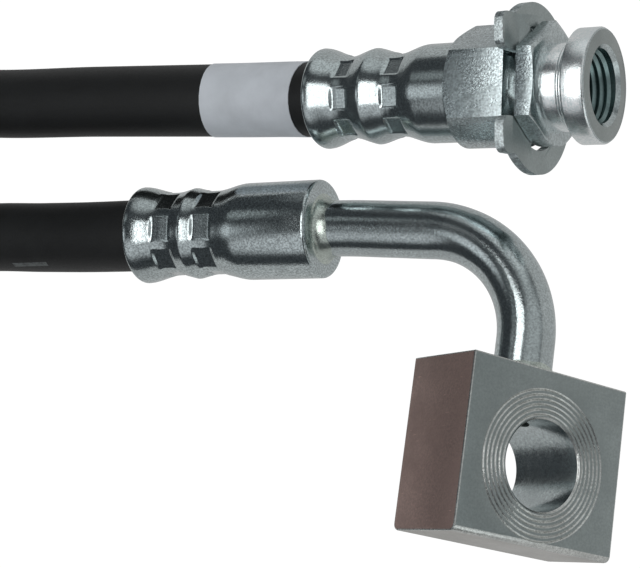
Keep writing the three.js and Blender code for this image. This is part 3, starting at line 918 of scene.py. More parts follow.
@dataclass
class Hose:
    """Rubber hose from the port fitting to the elbow shell, with its label band.

    Args:
        diameter: the hose's outside diameter.
        length: its length from mouth to mouth.
        inset: how far it goes into each skirt.
        label_length: length of the band along the hose.
        label_from_mouth: from the port fitting's mouth to the band.
        label_proud: how far the band stands out from the hose.
        label_wall: thickness of the band.
        frame_shift: where the route's own origin lies, in millimetres.
        route: points of the middle between the skirts, in millimetres.
    """

    diameter: float = 10.5 * MM
    length: float = 430 * MM
    inset: float = 4.0 * MM
    label_length: float = 15.6 * MM
    label_from_mouth: float = 2.7 * MM
    label_proud: float = 0.1 * MM
    label_wall: float = 0.12 * MM
    frame_shift: tuple[float, float, float] = (-6.554, 8.353, 0.0)
    route: list[tuple[float, float, float]] = field(default_factory=lambda: [
        (-6, 18.65, 6.05), (-12.5, 19.03, 5.5), (-20.5, 19.47, 5.45), (-38, 20.42, 5.45),
        (-58.6, 21.5, 5.45), (-74, 24.1, 5.45), (-88.1, 30.8, 5.45), (-100, 40.9, 5.45),
        (-116.2, 56.1, 5.45), (-133.5, 62.3, 5.45), (-151.8, 61.8, 5.45), (-168.6, 54.5, 5.45),
        (-181.6, 41.6, 5.45), (-189, 24.8, 5.45), (-189.6, 6.4, 5.45), (-183.5, -10.8, 5.45),
        (-171.4, -24.7, 5.45), (-155.1, -33.1, 5.45), (-136.9, -34.9, 5.45), (-119.2, -29.9, 5.45),
        (-101.9, -15.9, 5.45), (-89.4, -6.6, 5.45), (-74.9, -1, 5.45), (-59.4, 0.6, 5.45),
        (-47.5, 0.32, 5.6), (-39.5, 0.1, 6.3),
    ])

    def centreline(self) -> list[Vector]:
        """Centreline from inside the port fitting's skirt to inside the elbow shell's.

        Returns:
            Points along the centreline.
        """
        shift = Vector(self.frame_shift)
        starts = [PORT_MOUTH + self.inset, PORT_MOUTH - MM]
        ends = [ELBOW_MOUTH - 2 * MM, ELBOW_MOUTH + self.inset]
        points = [PORT_PLACE.matrix() @ (AXIS * x) for x in starts]
        points += [(Vector(point) + shift) * MM for point in self.route]
        points += [ELBOW_PLACE.matrix() @ (AXIS * x) for x in ends]
        return centripetal(points, per_span=14)

    def build(self, rubber: bpy.types.Material, film: bpy.types.Material) -> None:
        """Args:
            rubber: finish of the hose.
            film: finish of the band.
        """
        line = self.centreline()
        hose = tube_on("rubber_hose", line, self.diameter / 2)
        hose.data.materials.append(rubber)
        band = self.label(line, film)
        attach(hose, "root")
        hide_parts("hose")
        log.info("hose: %d points, %.1f mm", len(line), self.length / MM)

    def label(self, line: list[Vector], film: bpy.types.Material) -> bpy.types.Object:
        """Makes the band around the hose near the port fitting.

        Args:
            line: the hose's centreline.
            film: finish of the band.

        Returns:
            The band.
        """
        start = self.inset + self.label_from_mouth
        stretch = part_of_line(line, start, start + self.label_length, steps=24)
        band = tube_on("label_sleeve", stretch, self.diameter / 2 + self.label_proud)
        select_only(band)
        bpy.ops.object.convert(target="MESH")
        band = bpy.context.object
        bpy.ops.object.modifier_add(type="SOLIDIFY")
        band.modifiers[-1].thickness = self.label_wall
        band.modifiers[-1].offset = -1.0
        bpy.ops.object.modifier_apply(modifier=band.modifiers[-1].name)
        shade(band, angle=60)
        band.data.materials.clear()
        band.data.materials.append(film)
        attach(band, "root")
        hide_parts("label_band")
        return band


def tube_on(name: str, line: Sequence[Vector], radius: float) -> bpy.types.Object:
    """Round tube as a curve of one open spline.

    Args:
        name: the object's name.
        line: points along its middle.
        radius: its radius.

    Returns:
        A curve object.
    """
    curve = bpy.data.curves.new(name, "CURVE")
    curve.dimensions = "3D"
    spline = curve.splines.new("POLY")
    spline.points.add(len(line) - 1)
    for point, where in zip(spline.points, line):
        point.co = (*where, 1.0)
    spline.use_smooth = True
    curve.bevel_depth = radius
    curve.bevel_resolution = 12
    piece = bpy.data.objects.new(name, curve)
    bpy.context.scene.collection.objects.link(piece)
    return piece


def part_of_line(line: Sequence[Vector], start: float, end: float, steps: int) -> list[Vector]:
    """Evenly spaced points on a stretch of a line.

    Args:
        line: points of the line.
        start: distance along it to the stretch.
        end: distance along it to the stretch's end.
        steps: line pieces in the stretch.

    Returns:
        Points of the stretch.
    """
    wanted = [start + (end - start) * i / steps for i in range(steps + 1)]
    points, gone = [], 0.0
    for a, b in zip(line, line[1:]):
        length = (b - a).length
        while wanted and gone + length >= wanted[0]:
            points.append(a.lerp(b, (wanted.pop(0) - gone) / length))
        gone += length
    return points


@dataclass
class HexCollar:
    """Hex part of the port fitting with one corner turned round.

    Args:
        across_flats: from one flat to the opposite one.
        turn: turn about the axis, in degrees.
        chamfer: length of the chamfer along a corner.
        chamfer_start: radius at which the chamfer starts.
        bore: radius of the hole through it.
        edge: width of its broken edges.
    """

    across_flats: float = 15.2 * MM
    turn: float = 89.4
    chamfer: float = 0.9 * MM
    chamfer_start: float = 7.4 * MM
    bore: float = 5.5 * MM
    edge: float = 0.12 * MM

    def build(self, name: str, x0: float, x1: float, chamfer_first: bool) -> bpy.types.Object:
        """Makes the collar, with its corners chamfered at one end.

        Args:
            name: the object's name.
            x0: place of its first end.
            x1: place of its other end.
            chamfer_first: chamfers the first end, not the other.

        Returns:
            The collar.
        """
        inscribed = self.across_flats / 2
        corner = inscribed / math.cos(math.pi / 6)
        bpy.ops.mesh.primitive_cylinder_add(vertices=6, radius=corner, depth=x1 - x0)
        prism = named(name)
        prism.rotation_euler = (0, math.pi / 2, 0)
        settle(prism)
        first = math.atan2(prism.data.vertices[0].co.z, prism.data.vertices[0].co.y)
        prism.rotation_euler = (math.radians(self.turn + 30) - first, 0, 0)
        prism.location = ((x0 + x1) / 2, 0, 0)
        settle(prism)
        self.round_corner(prism, corner, inscribed)
        small, large = self.chamfer_start, corner + MM
        run = self.chamfer * (large - small) / (corner - small)
        if chamfer_first:
            outer = [(x0, small), (x0 + run, large), (x1, large)]
        else:
            outer = [(x0, large), (x1 - run, large), (x1, small)]
        envelope = spun("envelope", [(x1, self.bore), (x0, self.bore), *outer])
        carve(prism, envelope, Boolean.COMMON)
        soften(prism, self.edge)
        shade(prism)
        return prism

    def round_corner(self, prism: bpy.types.Object, corner: float, inscribed: float) -> None:
        """Bevels the edge that the real bar has turned down to the inscribed circle.

        Args:
            prism: the six-sided bar.
            corner: radius of its corners.
            inscribed: radius of the circle in it.
        """
        target = math.radians(self.turn + 90)
        way = Vector((0.0, math.cos(target), math.sin(target)))
        with editing(prism) as mesh:
            bpy.ops.mesh.select_all(action="DESELECT")
            bpy.ops.mesh.select_mode(type="EDGE")
            for edge in mesh.edges:
                middle = (edge.verts[0].co + edge.verts[1].co) / 2
                middle.x = 0.0
                along = abs((edge.verts[0].co - edge.verts[1].co).normalized().x) > ALONG
                edge.select_set(along and middle.normalized().dot(way) > ALONG)
            bmesh.update_edit_mesh(prism.data)
            width = math.sqrt(corner**2 - inscribed**2)
            bpy.ops.mesh.bevel(
                offset=width, offset_type="OFFSET", segments=16, affect="EDGES", clamp_overlap=True
            )
            bpy.ops.mesh.select_mode(type="VERT")


@dataclass
class PortEnd:
    """Port fitting, turned from one hex bar, with its retaining clip."""

    crimp: Crimp = Crimp(
        radius=6.65 * MM,
        depth=1.18 * MM,
        ring_depth=0.88 * MM,
        reach=4.6 * MM,
        pitch=7.7 * MM,
        turn=8.4,
        mouth=PORT_MOUTH,
        flare=0.33 * MM,
        from_mouth=4.9 * MM,
        flat_length=2.1 * MM,
        flat_shift=0.45 * MM,
    )
    # Hollow of the skirt, with the nipple's root in its floor
    cavity: float = 5.55 * MM
    floor: float = -20.8 * MM
    root_radius: float = 2.2 * MM
    root_depth: float = 2.9 * MM
    hose_bore: float = 1.6 * MM
    # Hex, clip groove and thin hex
    hex_back: float = -19.4 * MM
    hex_place: float = -10.8 * MM
    hex_overlap: float = 1.0 * MM
    groove_place: float = -9.0 * MM
    groove_radius: float = 6.0 * MM
    land_chamfer: float = 0.5 * MM
    # Neck and nose, with the tool's marks on the neck
    neck_end: float = -6.55 * MM
    neck_overlap: float = 0.5 * MM
    neck_radius: float = 5.7 * MM
    mark_count: int = 4
    mark_start: float = 1.5 * MM
    mark_pitch: float = 0.34 * MM
    mark_depth: float = 0.06 * MM
    nose_length: float = 3.1 * MM
    nose_radius: float = 7.45 * MM
    nose_chamfer: float = 0.35 * MM
    # Port, with its thread and the flare seat at its end
    port_radius: float = 4.75 * MM
    port_depth: float = 10.5 * MM
    countersink: float = 0.5 * MM
    thread_pitch: float = 1.0 * MM
    thread_height: float = 0.34 * MM
    thread_flank: float = 0.49 * MM
    thread_tip: float = 0.06 * MM
    thread_sink: float = 0.05 * MM
    thread_lead: float = 0.6 * MM
    thread_runout: float = 2.2 * MM
    thread_sides: int = 64
    seat_height: float = 1.9 * MM
    seat_land: float = 0.5 * MM
    flow_radius: float = 1.5 * MM

    def build(self, looks: dict[Look, bpy.types.Material]) -> None:
        """Makes the fitting and the clip.

        Args:
            looks: finishes of the metal.
        """
        body = self.turned_body()
        back = HexCollar().build("hex_back", self.hex_back, self.hex_place, True)
        thin = HexCollar(chamfer=self.land_chamfer)
        front = thin.build("hex_front", self.groove_place, self.neck_end, False)
        thread = self.thread()
        coat(body, looks[Look.TURNED], whole)
        # Darker thread inside the port: painted shade of the recess
        coat(thread, looks[Look.INNER], whole)
        # Brighter neck and nose: painted highlight
        coat(body, looks[Look.BRIGHT], self.on_neck)
        # Darker nose face: painted shade
        coat(body, looks[Look.FACED], self.on_nose)
        # Darker inside of the port: painted shade of the recess
        coat(body, looks[Look.INNER], self.in_port)
        for drawn in (back, front):
            coat(drawn, looks[Look.DRAWN], whole)
            coat(drawn, looks[Look.TURNED], lambda face: abs(face.normal.x) > 0.15)
        fitting = fuse("port_fitting_steel", body, back, front, thread)
        place(fitting, PORT_PLACE.matrix())
        dress(fitting, "port_fitting")
        ring = RetainingClip().build(self.groove_place - SEAT_GAP)
        coat(ring, looks[Look.SHEARED], whole)
        coat(ring, looks[Look.STAMPED], lambda face: abs(face.normal.x) > FACING)
        place(ring, PORT_PLACE.matrix())
        dress(ring, "retaining_clip")
        counts = [len(piece.data.polygons) for piece in (fitting, ring)]
        log.info("port end: fitting %d, clip %d faces", *counts)

    def turned_body(self) -> bpy.types.Object:
        """Everything about the axis: skirt, groove, neck, nose and port.

        Returns:
            The body, in the end's own frame.
        """
        chamfer = self.nose_chamfer
        seat_top = self.seat_height - self.port_depth
        bore_end = self.floor + self.root_depth
        hex_inside = self.hex_back + self.hex_overlap
        neck_start = self.neck_end - self.neck_overlap
        port = [
            (0.0, self.port_radius + self.countersink),
            (-self.countersink, self.port_radius),
            (-self.port_depth, self.port_radius),
            (-self.port_depth, self.flow_radius + self.seat_land + self.seat_height),
            (seat_top, self.flow_radius + self.seat_land),
            (seat_top, self.flow_radius),
            (bore_end, self.flow_radius),
            (bore_end, self.root_radius),
            (self.floor, self.root_radius),
        ]
        body = self.crimp.outside() + [
            (hex_inside, self.crimp.radius),
            (hex_inside, self.groove_radius),
            (neck_start, self.groove_radius),
            (neck_start, self.neck_radius),
            *self.neck_marks(),
            (-self.nose_length, self.neck_radius),
            (-self.nose_length, self.nose_radius - chamfer / 2),
            (-self.nose_length + chamfer / 2, self.nose_radius),
            (-chamfer, self.nose_radius),
            (-chamfer / 4, self.nose_radius - chamfer / 2),
            (0.0, self.nose_radius - chamfer),
        ]
        profile = port + self.crimp.inside(self.cavity, self.floor) + body
        piece = spun("turned_body", profile)
        self.crimp.press(piece, self.hose_bore)
        shade(piece, CRIMP_SHADE)
        return piece

    def in_port(self, face: bpy.types.MeshPolygon) -> bool:
        """Test for faces inside the port, behind its countersink."""
        from_axis = math.hypot(face.center.y, face.center.z)
        return face.center.x < -self.countersink and from_axis < self.port_radius + WELD

    def on_nose(self, face: bpy.types.MeshPolygon) -> bool:
        """Test for the nose's flat face."""
        return face.normal.x > FACING and face.center.x > -self.nose_chamfer

    def on_neck(self, face: bpy.types.MeshPolygon) -> bool:
        """Test for faces of the neck and the nose that look away from the axis."""
        away = Vector((0.0, face.center.y, face.center.z)).normalized()
        return face.center.x > self.neck_end - MM and away.dot(face.normal) > 0.8

    def neck_marks(self) -> Profile:
        """Fine grooves that the tool leaves on the neck beside the nose.

        Returns:
            Points of the profile.
        """
        points = []
        for i in range(self.mark_count):
            x = -self.nose_length - self.mark_start + i * self.mark_pitch
            points += [
                (x, self.neck_radius),
                (x + self.mark_pitch / 3, self.neck_radius - self.mark_depth),
                (x + 2 * self.mark_pitch / 3, self.neck_radius),
            ]
        return points

    def thread(self) -> bpy.types.Object:
        """Crests of the internal thread, a ridge that winds down the port.

        Returns:
            The ridge, in the end's own frame.
        """
        turns = int((self.port_depth - self.thread_runout) / self.thread_pitch)
        start = -self.countersink - self.thread_lead
        seat, crest = self.port_radius + self.thread_sink, self.port_radius - self.thread_height
        bpy.ops.mesh.primitive_plane_add(size=MM)
        piece = named("thread")
        section = [
            (start - self.thread_flank, seat),
            (start + self.thread_flank, seat),
            (start - self.thread_tip, crest),
            (start + self.thread_tip, crest),
        ]
        with editing(piece) as mesh:
            for vertex, (x, radius) in zip(mesh.verts, section):
                vertex.co = (x, 0.0, radius)
            bmesh.update_edit_mesh(piece.data)
        select_only(piece)
        bpy.ops.object.modifier_add(type="SCREW")
        screw = piece.modifiers[-1]
        screw.axis = "X"
        screw.angle = 2 * math.pi * turns
        screw.screw_offset = -self.thread_pitch * turns
        screw.steps = screw.render_steps = self.thread_sides * turns
        bpy.ops.object.modifier_apply(modifier=screw.name)
        with editing(piece):
            close_up()
        shade(piece, angle=30)
        return piece


@dataclass
class RetainingClip:
    """Flat stamped clip: two ears beside a throat, and two relief lobes.

    Args:
        thickness: thickness of the sheet.
        radius: radius of its rim.
        turn: turn about the axis, in degrees.
        lean: lean out of the groove's plane, in degrees.
        grip: radius of the hole that grips the groove.
        throat: half the width of the throat.
        ear_reach: from the axis to the ears' ends.
        ear_span: from the throat's middle to an ear's outer side.
        shoulder: from the axis to the edge beside the ears.
        ear_rounding: rounding of an ear's corners.
        lobe_radius: radius of the relief lobes.
        lobe_from: where a lobe starts, in degrees from the throat.
        lobe_to: where it ends, in degrees from the throat.
        edge: width of its broken edges.
    """

    thickness: float = 1.2 * MM
    radius: float = 11.15 * MM
    turn: float = 91.3
    lean: float = 1.4
    grip: float = 6.3 * MM
    throat: float = 4.2 * MM
    ear_reach: float = 10.5 * MM
    ear_span: float = 8.875 * MM
    shoulder: float = 7.7 * MM
    ear_rounding: float = 1.5 * MM
    lobe_radius: float = 8.05 * MM
    lobe_from: float = 73.0
    lobe_to: float = 131.0
    edge: float = 0.16 * MM

    def build(self, front: float) -> bpy.types.Object:
        """Makes the clip.

        Args:
            front: place of its front face along the axis.

        Returns:
            The clip, in the end's own frame.
        """
        half = self.thickness / 2
        clip = rod("clip_ring", -half, half, self.radius, ROUND_SIDES)
        with editing(clip):
            bpy.ops.mesh.bisect(
                plane_co=(0, self.shoulder, 0), plane_no=(0, 1, 0), use_fill=True, clear_outer=True
            )
        for side in (1, -1):
            carve(clip, self.ear(side), Boolean.JOIN)
        low, high = -half - MM, half + MM
        throat = box("throat_cut", (low, 0, -self.throat), (high, self.ear_reach + MM, self.throat))
        carve(clip, throat, Boolean.CUT)
        carve(clip, rod("grip_cut", low, high, self.grip, ROUND_SIDES), Boolean.CUT)
        for side in (1, -1):
            carve(clip, self.lobe(low, high, side), Boolean.CUT)
        clip.rotation_euler = (math.radians(self.turn), 0, 0)
        settle(clip)
        soften(clip, self.edge, angle=50)
        shade(clip, angle=30)
        clip.rotation_euler = (0, 0, math.radians(self.lean))
        clip.location = (front - half, 0, 0)
        settle(clip)
        return clip

    def ear(self, side: int) -> bpy.types.Object:
        """Ear on one side of the throat, with its two free corners rounded.

        Args:
            side: 1 or -1.

        Returns:
            The ear.
        """
        half = self.thickness / 2
        near, far = sorted((side * self.throat, side * self.ear_span))
        ear = box("ear", (-half, self.shoulder - 2 * MM, near), (half, self.ear_reach, far))
        with editing(ear) as mesh:
            bpy.ops.mesh.select_mode(type="EDGE")
            bpy.ops.mesh.select_all(action="DESELECT")
            for edge in mesh.edges:
                a, b = (v.co for v in edge.verts)
                edge.select_set(abs((b - a).normalized().x) > ALONG and min(a.y, b.y) > self.shoulder)
            bmesh.update_edit_mesh(ear.data)
            bpy.ops.mesh.bevel(offset=self.ear_rounding, segments=8, affect="EDGES")
            bpy.ops.mesh.select_mode(type="VERT")
        return ear

    def lobe(self, x0: float, x1: float, side: int) -> bpy.types.Object:
        """Cutter for one relief lobe: a ring sector above the grip.

        Args:
            x0: place of its first end.
            x1: place of its other end.
            side: 1 or -1.

        Returns:
            The cutter.
        """
        inner = self.grip - MM
        lobe = box("lobe_cut", (x0, inner, -0.01 * MM), (x1, self.lobe_radius, 0.0))
        sweep = math.radians(self.lobe_to - self.lobe_from)
        with editing(lobe) as mesh:
            bpy.ops.mesh.select_all(action="DESELECT")
            for face in mesh.faces:
                face.select_set(face.normal.z > 0.9)
            bmesh.update_edit_mesh(lobe.data)
            bpy.ops.mesh.spin(steps=24, angle=-sweep, center=(0, 0, 0), axis=AXIS)
            close_up()
        start = self.lobe_from if side > 0 else -self.lobe_to
        lobe.rotation_euler = (math.radians(start), 0, 0)
        settle(lobe)
        return lobe


@dataclass
class ElbowEnd:
    """Crimped shell, bent tube, bolt block and the braze around the tube."""

    crimp: Crimp = Crimp(
        radius=6.88 * MM,
        depth=1.08 * MM,
        ring_depth=0.84 * MM,
        reach=5.5 * MM,
        pitch=6.6 * MM,
        turn=9.2,
        mouth=ELBOW_MOUTH,
        flare=0.15 * MM,
        from_mouth=5.65 * MM,
        flat_length=2.6 * MM,
        flat_shift=0.05 * MM,
        flat_angle=32.0,
    )
    # Hollow of the shell, and the tube's seat in its head
    cavity: float = 5.55 * MM
    floor: float = -8.0 * MM
    root_radius: float = 2.2 * MM
    hose_bore: float = 1.6 * MM
    edge: float = 0.5 * MM
    socket_depth: float = 4.6 * MM
    # Tube: a lead, a slight kick, a straight run, the bend and the leg into the block
    tube_radius: float = 3.9 * MM
    tube_wall: float = 0.9 * MM
    lead: float = 1.0 * MM
    kick: float = 3.5
    kick_length: float = 5.0 * MM
    run: float = 16.45 * MM
    bend_radius: float = 14.8 * MM
    bend: float = 89.2
    flattening: float = 0.97
    flattening_run: float = 0.2
    leg: float = 4.4 * MM
    block_socket: float = 3.0 * MM
    block_twist: float = 32.2
    # Braze at both ends of the tube
    shell_braze: float = 1.9 * MM
    block_braze: float = 1.1 * MM
    braze_height: float = 1.0 * MM
    braze_foot: float = 0.3 * MM
    braze_edge: float = 0.08 * MM
    braze_sink: float = 0.1 * MM
    braze_overlap: float = 0.05 * MM

    def build(self, looks: dict[Look, bpy.types.Material]) -> None:
        """Makes the pieces of this end.

        Args:
            looks: finishes of the metal.
        """
        at = ELBOW_PLACE.matrix()
        body = place(self.shell(), at)
        coat(body, looks[Look.SHELL], whole)
        dress(body, "elbow_shell")
        pipe = place(self.tube(), at)
        coat(pipe, looks[Look.TUBE], whole)
        dress(pipe, "elbow_tube")
        corner, heading = self.leg_end()
        leg = at @ Matrix.Translation(corner) @ Matrix.Rotation(heading + math.pi / 2, 4, "Z")
        bolt = BoltBlock(tube_radius=self.tube_radius).build(looks)
        place(bolt, leg @ Matrix.Rotation(-math.radians(self.block_twist), 4, "Y"))
        dress(bolt, "banjo_block")
        first = place(self.fillet("braze_at_shell", self.shell_braze), at)
        coat(first, looks[Look.BRAZE], whole)
        dress(first, "braze_ring_shell")
        second = self.fillet("braze_at_block", self.block_braze)
        second.scale = (1.0, self.flattening, 1.0)
        settle(second)
        place(second, leg @ Matrix.Rotation(math.pi / 2, 4, "Z"))
        coat(second, looks[Look.BRAZE], whole)
        dress(second, "braze_ring_block")
        counts = [len(piece.data.polygons) for piece in (body, pipe, bolt)]
        log.info("elbow end: shell %d, tube %d, block %d faces", *counts)

    def shell(self) -> bpy.types.Object:
        """Crimped shell with a thick head that the tube is brazed into.

        Returns:
            The shell, in the end's own frame.
        """
        socket = self.tube_radius + SEAT_GAP
        profile = self.crimp.outside() + rounded(0.0, self.crimp.radius, -self.edge, False)
        profile += [
            (0.0, socket),
            (-self.socket_depth, socket),
            (-self.socket_depth, self.root_radius),
            (self.floor, self.root_radius),
        ]
        profile += self.crimp.inside(self.cavity, self.floor)
        piece = spun("elbow_shell_steel", profile)
        self.crimp.press(piece, self.hose_bore)
        shade(piece, CRIMP_SHADE)
        return piece

    def leg_end(self) -> tuple[Vector, float]:
        """Where the tube meets the block, and the tube's heading there.

        Returns:
            The place, and the heading in radians.
        """
        kick, bend = math.radians(self.kick), math.radians(self.bend)
        heading = -kick - bend
        point = self.bend_start() + self.arc(-kick, bend, self.bend_radius)
        return point + self.way(heading) * self.leg, heading

    def straight(self) -> float:
        """Length of the straight run between the kick and the bend."""
        return self.run - self.lead - self.kick_length

    def bend_start(self) -> Vector:
        """Where the bend starts.

        Returns:
            The place in the end's own frame.
        """
        kick = math.radians(self.kick)
        point = Vector((self.lead, 0.0, 0.0)) + self.arc(0.0, kick, self.kick_length / kick)
        return point + self.way(-kick) * self.straight()

    @staticmethod
    def way(heading: float) -> Vector:
        """Unit vector with this heading in the bend's plane."""
        return Vector((math.cos(heading), math.sin(heading), 0.0))

    @staticmethod
    def side(heading: float) -> Vector:
        """Unit vector to the right of this heading, where the bends have their centres."""
        return Vector((math.sin(heading), -math.cos(heading), 0.0))

    @staticmethod
    def draw_out(step: Vector) -> None:
        """Draws the selected ring of points out by a step."""
        bpy.ops.mesh.extrude_region_move(TRANSFORM_OT_translate={"value": step})

    @staticmethod
    def arc(heading: float, angle: float, radius: float) -> Vector:
        """Step from the start to the end of an arc that turns clockwise by the angle."""
        return ElbowEnd.way(heading - angle / 2) * (2 * radius * math.sin(angle / 2))

    def tube(self) -> bpy.types.Object:
        """Bent tube: a ring of points is drawn out, spun round each bend and given its wall.

        Returns:
            The tube, in the end's own frame.
        """
        kick, bend = math.radians(self.kick), math.radians(self.bend)
        start = Vector((SEAT_GAP - self.socket_depth, 0.0, 0.0))
        bpy.ops.mesh.primitive_circle_add(
            vertices=SMALL_SIDES, radius=self.tube_radius, rotation=(0, math.pi / 2, 0)
        )
        piece = named("elbow_tube_steel")
        settle(piece)
        point, heading = Vector((self.lead, 0.0, 0.0)), 0.0
        with editing(piece):
            bpy.ops.transform.translate(value=start)
            self.draw_out(point - start)
            for angle, radius, steps, straight in (
                (kick, self.kick_length / kick, 6, self.straight()),
                (bend, self.bend_radius, 72, self.leg),
            ):
                centre = point + self.side(heading) * radius
                bpy.ops.mesh.spin(steps=steps, angle=angle, center=centre, axis=(0, 0, 1))
                point += self.arc(heading, angle, radius)
                heading -= angle
                self.draw_out(self.way(heading) * straight)
                point += self.way(heading) * straight
            self.draw_out(self.way(heading) * (self.block_socket - SEAT_GAP))
            close_up()
        self.flatten_bend(piece)
        select_only(piece)
        bpy.ops.object.modifier_add(type="SOLIDIFY")
        wall = piece.modifiers[-1]
        wall.thickness = self.tube_wall
        wall.offset = -1.0
        bpy.ops.object.modifier_apply(modifier=wall.name)
        shade(piece, angle=40)
        return piece

    def flatten_bend(self, piece: bpy.types.Object) -> None:
        """Draws the tube in across its bend, as bending does.

        Args:
            piece: the tube.
        """
        kick, bend = math.radians(self.kick), math.radians(self.bend)
        start = self.bend_start()
        centre = start + self.side(-kick) * self.bend_radius
        leg_point = start + self.arc(-kick, bend, self.bend_radius)
        side = self.side(-kick - bend)
        far = 2.5 * self.bend_radius
        for vertex in piece.data.vertices:
            out = Vector((vertex.co.x - centre.x, vertex.co.y - centre.y, 0.0))
            turned = math.pi / 2 - kick - math.atan2(out.y, out.x)
            if turned <= 0 or out.length > far:
                continue
            if turned < bend:
                share = min(1.0, turned / bend / self.flattening_run)
                off = out.length - self.bend_radius
                move = out.normalized() * off
            else:
                share = 1.0
                off = (vertex.co - leg_point).dot(side)
                move = side * off
            vertex.co -= move * (1 - self.flattening) * share

    def fillet(self, name: str, length: float) -> bpy.types.Object:
        """Ring of braze around the tube where it leaves a flat face at x = 0.

        Args:
            name: the object's name.
            length: how far it reaches along the tube.

        Returns:
            The ring.
        """
        inner, height = self.tube_radius - self.braze_overlap, self.braze_height
        profile = [(-self.braze_sink, inner), (-self.braze_sink, inner + height + self.braze_foot)]
        steps = 8
        for i in range(steps + 1):
            angle = math.pi / 2 * i / steps
            rise = height * (1 - math.sin(angle)) + self.braze_edge
            profile.append((length * (1 - math.cos(angle)), inner + rise))
        profile.append((length, inner))
        piece = spun(name, profile, SMALL_SIDES)
        # Two waves round the tube leave the braze's edge uneven
        for vertex in piece.data.vertices:
            angle = math.atan2(vertex.co.z, vertex.co.y)
            swell = 0.10 * math.sin(3 * angle + 0.7) + 0.06 * math.sin(7 * angle + 2.1)
            if vertex.co.x > 0:
                vertex.co.x *= 1 + swell
        shade(piece, angle=40)
        return piece


